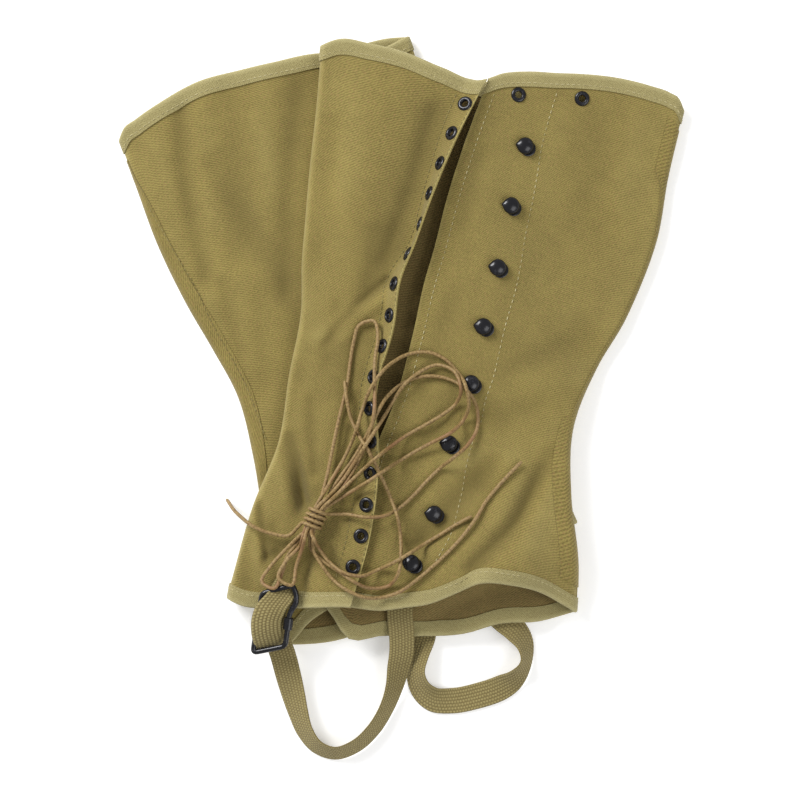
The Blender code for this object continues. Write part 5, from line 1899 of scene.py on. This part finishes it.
    def pierce(self, label: str, seats: Sequence[Seat], radius: float) -> None:
        """Cuts a round hole through a panel at each seat."""
        holes = bmesh.new()
        for point, axes in seats:
            place = Matrix(axes.tolist()).to_4x4()
            place.translation = Vector(point) * MM
            bmesh.ops.create_cone(
                holes, cap_ends=True, segments=HOLE_SIDES, radius1=radius * MM, radius2=radius * MM,
                depth=HOLE_DEPTH * MM, matrix=place,
            )
        mesh = bpy.data.meshes.new("holes")
        holes.to_mesh(mesh)
        holes.free()
        cutter = added("holes", mesh)
        piece = self.pieces[label][0]
        cut = piece.modifiers.new("Holes", "BOOLEAN")
        cut.operation = "DIFFERENCE"
        cut.solver = "EXACT"
        cut.object = cutter
        made = worked_out(piece)
        piece.modifiers.clear()
        piece.data = made
        bpy.data.objects.remove(cutter)


@dataclass
class Stitching:
    """All the sewing that shows on the pair."""

    upper: Gaiter
    lower: Gaiter
    finishes: Finishes

    def tape_rows(self, work: Seamwork, gaiter: Gaiter, places: tuple[float, float]) -> None:
        """The row along the inner edge of each tape."""
        around = np.linspace(*places, ROW_POINTS)
        inset = (TAPE_WIDTH - TAPE_ROW_INSET) / NOMINAL_LENGTH
        out = WALL / 2 + TAPE_SEAT + TAPE - TAPE_ROW_SINK
        for share in (inset, 1 - inset):
            work.row(gaiter, around, share * np.ones_like(around), out)

    def line(
        self, work: Seamwork, gaiter: Gaiter, layer: Layer, places: Sequence[tuple[float, float]],
        out: float = ON_CANVAS,
    ) -> None:
        """A row along (down, across) points of one layer."""
        around, share = gaiter.line_on(layer, places, LINE_POINTS)
        work.row(gaiter, around, share, out)

    def make(self) -> None:
        """Sews every row."""
        upper, lower = self.upper, self.lower
        tape = Seamwork("tape_stitches", thread=0.42, length=2.2, gap=1.1)
        self.tape_rows(tape, upper, (0.02, 3.58))
        self.tape_rows(tape, upper, (3.7, 4.98))
        self.tape_rows(tape, lower, (1.2, 3.4))
        tape.sew(self.finishes.pale_thread)
        pale = Seamwork("facing_stitches", thread=0.5, length=1.9, gap=1.6)
        self.line(pale, upper, Layer.HOOK, upper.pixel_line(FACING_LINE))
        for row in (ANKLE_LINE, ANKLE_LINE_OUTER):
            self.line(pale, upper, Layer.HOOK, upper.pixel_line(row))
        down = np.linspace(0.03, 0.93, 300)
        pale.row(upper, 5.0 - 0.055 * np.ones_like(down), down, ON_CANVAS)
        pale.sew(self.finishes.pale_thread)
        dull = Seamwork("edge_stitches", thread=0.45, length=2.4, gap=1.0)
        down = np.linspace(0.03, 0.95, 300)
        dull.row(upper, 0.375 * np.ones_like(down), down, ON_CANVAS)
        dull.row(upper, 0.03 * np.ones_like(down), down, ON_CANVAS)
        self.line(dull, lower, Layer.BACK, lower.pixel_line(LOWER_SEAM_LINE), ON_STRIP)
        dull.sew(self.finishes.dull_thread)


def numbered(name: str, count: int) -> list[str]:
    """The names of solids that are numbered from 1."""
    return [f"{name}_{k + 1}" for k in range(count)]


@dataclass
class Fastenings:
    """The hooks and eyelets of the upper gaiter."""

    cloth: GaiterCloth
    metal: Any
    sides: int = 40
    rise: float = 2.9
    cap_aside: float = 0.9
    disc_aside: float = 1.5
    cap_share: float = 0.93
    beak_turn: float = 0.5
    beak_wide: float = 0.26
    beak_long: float = 0.9
    seed: int = 5

    def hook(self) -> Any:
        """One hook: a rolled base disc, a neck, and a domed cap with a beak."""
        seat = WALL / 2 + 0.5
        base = HOOK_BASE / 2
        disc = [
            (0.0, seat + 0.9), (base - 1.3, seat + 0.9), (base - 0.6, seat + 1.15),
            (base - 0.15, seat + 0.95), (base, seat + 0.5), (base - 0.2, seat + 0.1),
            (base - 0.7, seat - 0.15), (0.0, seat - 0.15),
        ]
        neck = [(0.0, seat + 3.2), (2.4, seat + 3.2), (2.5, seat + 2.0), (3.1, seat + 0.9), (0.0, seat + 0.6)]
        radius = HOOK_CAP / 2 * self.cap_share
        low = seat + HOOK_TALL - self.rise
        turns = np.linspace(0, math.pi / 2 * 0.97, 13)
        arc = [(radius * math.sin(turn), low + self.rise * math.cos(turn)) for turn in turns]
        rim = [(radius + 0.02, low - 0.2), (radius - 0.15, low - 0.5), (radius - 0.6, low - 0.55)]
        under = [(radius - 1.4, low - 0.2), (2.0, low), (0.0, low)]
        cap_points, cap_faces = turned([*arc, *rim, *under], self.sides, -self.cap_aside)
        from_middle = cap_points[:, 0] - self.cap_aside
        beak = np.exp(-(((np.arctan2(cap_points[:, 1], from_middle) - self.beak_turn) / self.beak_wide) ** 2))
        reach = np.hypot(from_middle, cap_points[:, 1]) / radius
        push = beak * np.clip(reach - 0.6, 0, 1) * self.beak_long / 0.4
        cap_points[:, 0] += push * math.cos(self.beak_turn)
        cap_points[:, 1] += push * math.sin(self.beak_turn)
        cap_points[:, 2] -= push * 0.4
        parts = [turned(disc, self.sides, self.disc_aside), turned(neck, 20), (cap_points, cap_faces)]
        return small_mesh("hook", *joined(parts))

    def eyelet(self) -> Any:
        """One eyelet: a rolled flange and a barrel through the canvas."""
        hole = EYELET_HOLE / 2
        outer = EYELET_OUTER / 2
        seat = WALL / 2 + 0.35
        flange = [
            (hole + 0.15, seat + 0.55), (hole + 0.5, seat + 0.85), (hole + 1.1, seat + 0.9),
            (outer - 0.7, seat + 0.72), (outer - 0.15, seat + 0.35), (outer, seat),
            (outer - 0.25, seat - 0.25), (hole + 0.6, seat - 0.1), (hole + 0.35, -WALL / 2),
            (hole, -WALL / 2), (hole, seat + 0.2),
        ]
        return small_mesh("eyelet", *turned(flange, self.sides))

    def seat(self, around: float, down_share: float) -> Seat:
        """A place on the cloth and its outward normal."""
        gaiter = self.cloth.gaiter
        one, two = np.array([around]), np.array([down_share])
        return gaiter.place(one, two)[0], gaiter.normal(one, two)[0]

    def seats_of(self, rows: Sequence[tuple[float, float]]) -> list[Seat]:
        """Seats on the hook panel for (down, across) places."""
        gaiter = self.cloth.gaiter
        found = []
        for down, across in rows:
            around = gaiter.around_at(Layer.HOOK, np.array([across]), np.array([down]))
            share = gaiter.down_share_at(around, np.array([float(down)]))
            found.append(self.seat(float(around[0]), float(share[0])))
        return found

    def put(
        self, name: str, small: Any, seats: Sequence[Seat], toward: Sequence[float], nodes: list[str]
    ) -> None:
        """Sets copies of a small piece on its seats, as one piece.

        Args:
            name: the piece's name.
            small: the small piece's mesh.
            seats: where each copy stands, and its normal.
            toward: which way its side faces.
            nodes: the solids that the copies stand for.
        """
        scatter = Scatter()
        for point, normal in seats:
            scatter.add(point, np.array(toward, float), normal)
        mesh = scatter.make(name, small, self.metal, 0.0, self.seed)
        keep(name, mesh, nodes)

    def make(self) -> None:
        """Makes the hooks and eyelets, and the holes through the canvas."""
        gaiter = self.cloth.gaiter
        hooks = self.seats_of(HOOK_ROW)
        self.put("hooks", self.hook(), hooks, (-0.8, 0.6, 0.0), numbered("hook", len(HOOK_ROW)))
        top = self.seats_of(TOP_EYELETS)
        names = numbered("top_eyelet", len(TOP_EYELETS))
        self.put("top_eyelets", self.eyelet(), top, (1.0, 0.0, 0.0), names)
        around = FLAP_EYELET_INSET / (TURN_FLAT + TURN_BEND) * TURN_SHARE
        flap = []
        for k in range(FLAP_EYELET_COUNT):
            down = np.array([FLAP_EYELET_FIRST + k * FLAP_EYELET_PITCH])
            flap.append(self.seat(around, float(gaiter.down_share_at(np.array([around]), down)[0])))
        names = numbered("eyelet", FLAP_EYELET_COUNT)
        self.put("flap_eyelets", self.eyelet(), flap, (1.0, 0.0, 0.0), names)
        for label, seats in (("hook_panel", top), ("eyelet_panel", flap)):
            axes = [(point, self.axes(normal)) for point, normal in seats]
            self.cloth.pierce(label, axes, EYELET_HOLE / 2 + HOLE_CLEAR)

    @staticmethod
    def axes(normal: Array) -> Array:
        """Three axes in columns, the third along a normal."""
        second = unit(np.cross(normal, (1.0, 0.0, 0.0)))
        return np.stack([np.cross(second, normal), second, normal], axis=1)


@dataclass
class Strap:
    """An understrap of webbing with its buckle."""

    name: str
    stops: list[Stop]
    corners: list[Point]
    cut: float
    rests_on: tuple[str, ...]
    finishes: Finishes
    roller: tuple[float, float]
    folded_back: float = 0.0
    across_steps: int = 49
    step: float = 0.42
    fold_wide: float = 0.15
    fold_droop: float = 1.6
    ground: float = 0.6
    cell_rise: float = 0.55

    def make(self) -> None:
        """Makes the webbing, the buckle's frame and its roller."""
        places = np.array([stop[:3] for stop in self.stops])
        reach = reach_along(places)
        at = np.linspace(0, reach[-1], int(reach[-1] / self.step) + 1)
        x, y, z, heading, lean = (curve_through(reach, values, at) for values in zip(*self.stops))
        heading, lean = np.radians(heading), np.radians(lean)
        level = np.cos(lean)
        width = np.stack([np.cos(heading) * level, np.sin(heading) * level, np.sin(lean)], axis=-1)
        middle = np.stack([x, y, z], axis=-1)
        share = np.linspace(-1, 1, self.across_steps)
        half = WEBBING_WIDTH / 2 - 0.1
        swell = ease((at - reach[-1] + self.folded_back) / 10.0) if self.folded_back else 0.0 * at
        wide = half * (1 + self.fold_wide * swell)
        grid = middle[:, None, :] + share[None, :, None] * wide[:, None, None] * width[:, None, :]
        grid[..., 2] -= self.fold_droop * swell[:, None] * share[None, :] ** 2
        length = reach_along(middle)[:, None]
        columns = (share[None, :] + 1) * half / WEBBING_CELL
        picks = length / WEBBING_PICK + 0.5 * np.floor(columns)
        cells = np.abs(np.sin(math.pi * columns) * np.sin(math.pi * picks))
        thick = WEBBING * self.ground + self.cell_rise * cells
        thick = thick * (1 - 0.45 * np.clip(np.abs(share[None, :]) - 0.9, 0, 1) / 0.1)
        # Paler on the raised cells and deeper in the hollows between them, and paler at the edges
        wear = 0.9 * cells - 0.4 + 0.3 * np.clip(np.abs(share[None, :]) - 0.85, 0, 1) / 0.15
        mesh = shell(self.name + "_strap_webbing", grid, thick, wear)
        piece = keep(mesh.name, mesh, [self.name + "_strap"], [self.finishes.webbing] * 2)
        self.buckle()

    def buckle(self) -> None:
        """Makes the bent frame and the roller on its long side."""
        corners = np.array(self.corners)
        side = np.roll(corners, -1, axis=0) - corners
        run = np.linalg.norm(side, axis=1, keepdims=True)
        eased = side / run * np.minimum(CORNER_ROUND, CORNER_SHARE * run)
        points = []
        for corner, ending, start, onward in zip(corners, np.roll(eased, 1, axis=0), eased, side):
            points += [corner - ending * (1 - t) ** 2 + start * t**2 for t in np.linspace(0, 1, 9)]
            points += [corner + start + (onward - 2 * start) * t for t in np.linspace(0, 1, 14)[1:-1]]
        mesh = tube(self.name + "_buckle_wire", np.array(points), BUCKLE_WIRE / 2 * 0.97, 18, True)
        keep(mesh.name, mesh, [self.name + "_buckle_frame"], [self.finishes.metal])
        start, end = (corners[-3] + side[-3] * share for share in self.roller)
        long = float(np.linalg.norm(end - start))
        inner = BUCKLE_WIRE / 2 + 0.08
        outer = ROLLER_OUTER / 2
        profile = [
            (inner, long), (outer - 0.3, long), (outer, long - 0.3), (outer, 0.3), (outer - 0.3, 0.0),
            (inner, 0.0),
        ]
        sleeve = small_mesh(self.name + "_buckle_sleeve", *turned(profile, 32))
        axes = Matrix(Fastenings.axes(unit(end - start)).tolist()).to_4x4()
        axes.translation = Vector(start) * MM
        sleeve.transform(axes)
        keep(sleeve.name, sleeve, [self.name + "_buckle_roller"], [self.finishes.metal])


@dataclass
class Laces:
    """Two laces, each bundled through the knot with both ends free."""

    gaiter: Gaiter
    finish: Any
    sides: int = 12
    step: float = 0.8
    tip_run: float = 1.2
    tip_taper: float = 0.35

    def make(self) -> None:
        """Lays both laces, on the same bed and in the same order as their solids."""
        bed = LaceBed(self.gaiter)
        held = [bed.through_knot(strand) for strand in PASSES_ONE]
        one = [
            TAIL_LEFT, bed.knot_turns(), LOOP_RIGHT, held[0], LOOP_LOW, held[1], LOOP_TALL, held[2],
            TAIL_BACK,
        ]
        self.lace("lace_one", "lace_1", bed.bundled(one), LACE_ONE_LENGTH)
        held = [bed.through_knot(strand) for strand in PASSES_TWO]
        two = [
            TAIL_LONG, held[0], LOOP_WIDE, held[1], LOOP_LOW_INNER, held[2], LOOP_SHORT, held[3], TAIL_SHORT,
        ]
        self.lace("lace_two", "lace_2", bed.bundled(two), LACE_TWO_LENGTH)

    def lace(self, name: str, node: str, points: list, length: float) -> None:
        route = np.array(points)
        reach = reach_along(route)
        at = np.linspace(0, reach[-1], int(reach[-1] / self.step) + 1)
        smooth = read_along(route, reach, at, True)
        ends = sum(np.exp(-((away / self.tip_run) ** 2)) for away in (at, reach[-1] - at))
        radius = LACE / 2 * (1 - self.tip_taper * ends)
        mesh = tube(name, smooth, radius, self.sides)
        piece = keep(name, mesh, [node], [self.finish])
        LOG.info("%s is %.0f mm long", name, reach_along(smooth)[-1])


@dataclass
class Stage:
    """The camera, the pale floor and the soft studio light."""

    light_side: float = 1.3
    key: float = 88.0
    fill: float = 15.0
    world: float = 0.43
    glow: float = 0.3
    key_place: Point = (-1.75, 1.65, 1.65)
    fill_place: Point = (1.2, -0.7, 1.5)
    floor_side: float = 3.0

    def camera(self) -> None:
        """A camera that looks straight down on the photograph's frame."""
        data = bpy.data.cameras.new("camera")
        data.lens = LENS
        data.sensor_width = SENSOR
        camera = added("camera", data)
        middle = on_surface((400, 400))
        camera.location = (middle[0] * MM, middle[1] * MM, (FRAME_SIDE * LENS / SENSOR + SIGHT_HEIGHT) * MM)
        data.clip_start, data.clip_end = 0.05, 20.0
        bpy.context.scene.camera = camera

    def lamp(self, name: str, place: Point, power: float) -> None:
        """A large soft lamp that faces the pair."""
        data = bpy.data.lights.new(name, "AREA")
        data.energy = power
        data.size = self.light_side
        lamp = added(name, data)
        lamp.location = place
        lamp.rotation_euler = (-Vector(place)).to_track_quat("-Z", "Y").to_euler()

    def floor(self) -> None:
        """The plain pale floor."""
        mesh = bpy.data.meshes.new("floor")
        side = self.floor_side
        corners = [(-side, -side, 0), (side, -side, 0), (side, side, 0), (-side, side, 0)]
        mesh.from_pydata(corners, [], [(0, 1, 2, 3)])
        floor = added("floor", mesh)
        material, graph = started("pale_floor")
        colour = graph.mix(graph.noise(graph.place(), 300.0), (0.93, 0.93, 0.93), (0.97, 0.97, 0.97))
        constants = {"Roughness": 0.9, "Emission Color": WHITE, "Emission Strength": self.glow}
        finish(material, colour, None, None, constants)
        floor.data.materials.append(material)

    def make(self) -> None:
        """Sets the stage."""
        self.floor()
        self.lamp("key_lamp", self.key_place, self.key)
        self.lamp("fill_lamp", self.fill_place, self.fill)
        scene = bpy.context.scene
        scene.view_settings.view_transform = "Standard"
        world = bpy.data.worlds.new("studio")
        world.use_nodes = True
        world.node_tree.nodes["Background"].inputs["Strength"].default_value = self.world
        world.node_tree.nodes["Background"].inputs["Color"].default_value = WHITE
        scene.world = world


def gaiters() -> tuple[Gaiter, Gaiter]:
    """The lower gaiter lies face down on the surface, and the upper one crosses it."""
    lower = Gaiter(
        "lower", (-80.1, 178.8), -18.9, -1, False, LOWER_SECTIONS, LOWER_OPEN_EDGE, LOWER_CLOSED_EDGE,
        LOWER_FOLDS, LOWER_BUMPS, LOWER_WRINKLES, None, 8,
    )
    upper = Gaiter(
        "upper", (60.9, 193.2), 10.5, 1, True, UPPER_SECTIONS, UPPER_OPEN_EDGE, UPPER_CLOSED_EDGE,
        UPPER_FOLDS, UPPER_BUMPS, UPPER_WRINKLES, lower, 4,
    )
    return lower, upper


def main() -> None:
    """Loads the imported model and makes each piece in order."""
    logging.basicConfig(level=logging.INFO, format="%(name)s: %(message)s")
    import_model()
    for startup_object in [bpy.data.objects.get(name) for name in ("Cube", "Light", "Camera")]:
        if startup_object is not None:
            bpy.data.objects.remove(startup_object)
    stage = Stage()
    stage.camera()
    lower, upper = gaiters()
    finishes = Finishes().make()
    Laces(upper, finishes.lace).make()
    under = GaiterCloth(
        lower, finishes, LOWER_ROWS,
        steps((0.0, 1, 24), (1, 2, 10), (2, 3, 80), (3, 3.4, 5)),
        steps((3.47, 4, 6), (4, 5, 16)),
        LOWER_EYELET_CUT, LOWER_HOOK_CUT, LOWER_TAPE_CUT, LOWER_SEAM_CUT,
    )
    over = GaiterCloth(
        upper, finishes, UPPER_ROWS,
        steps((0, 0.4, 26), (0.4, 1, 60), (1, 2, 12), (2, 3, 36), (3, 3.6, 6)),
        steps((3.67, 4, 4), (4, 5, 60)),
        UPPER_EYELET_CUT, UPPER_HOOK_CUT, UPPER_TAPE_CUT, UPPER_SEAM_CUT, ("lower_eyelet_panel_cloth",),
    )
    for cloth in (under, over):
        cloth.dress()
        cloth.declare()
    Fastenings(over, finishes.metal).make()
    Stitching(upper, lower, finishes).make()
    Strap(
        "upper", UPPER_STRAP, UPPER_BUCKLE, UPPER_STRAP_CUT, ("upper_hem_binding_tape",), finishes,
        UPPER_ROLLER, UPPER_FOLDED_BACK,
    ).make()
    Strap("lower", LOWER_STRAP, LOWER_BUCKLE, LOWER_STRAP_CUT, (), finishes, LOWER_ROLLER).make()
    stage.make()


if __name__ == "__main__":
    main()
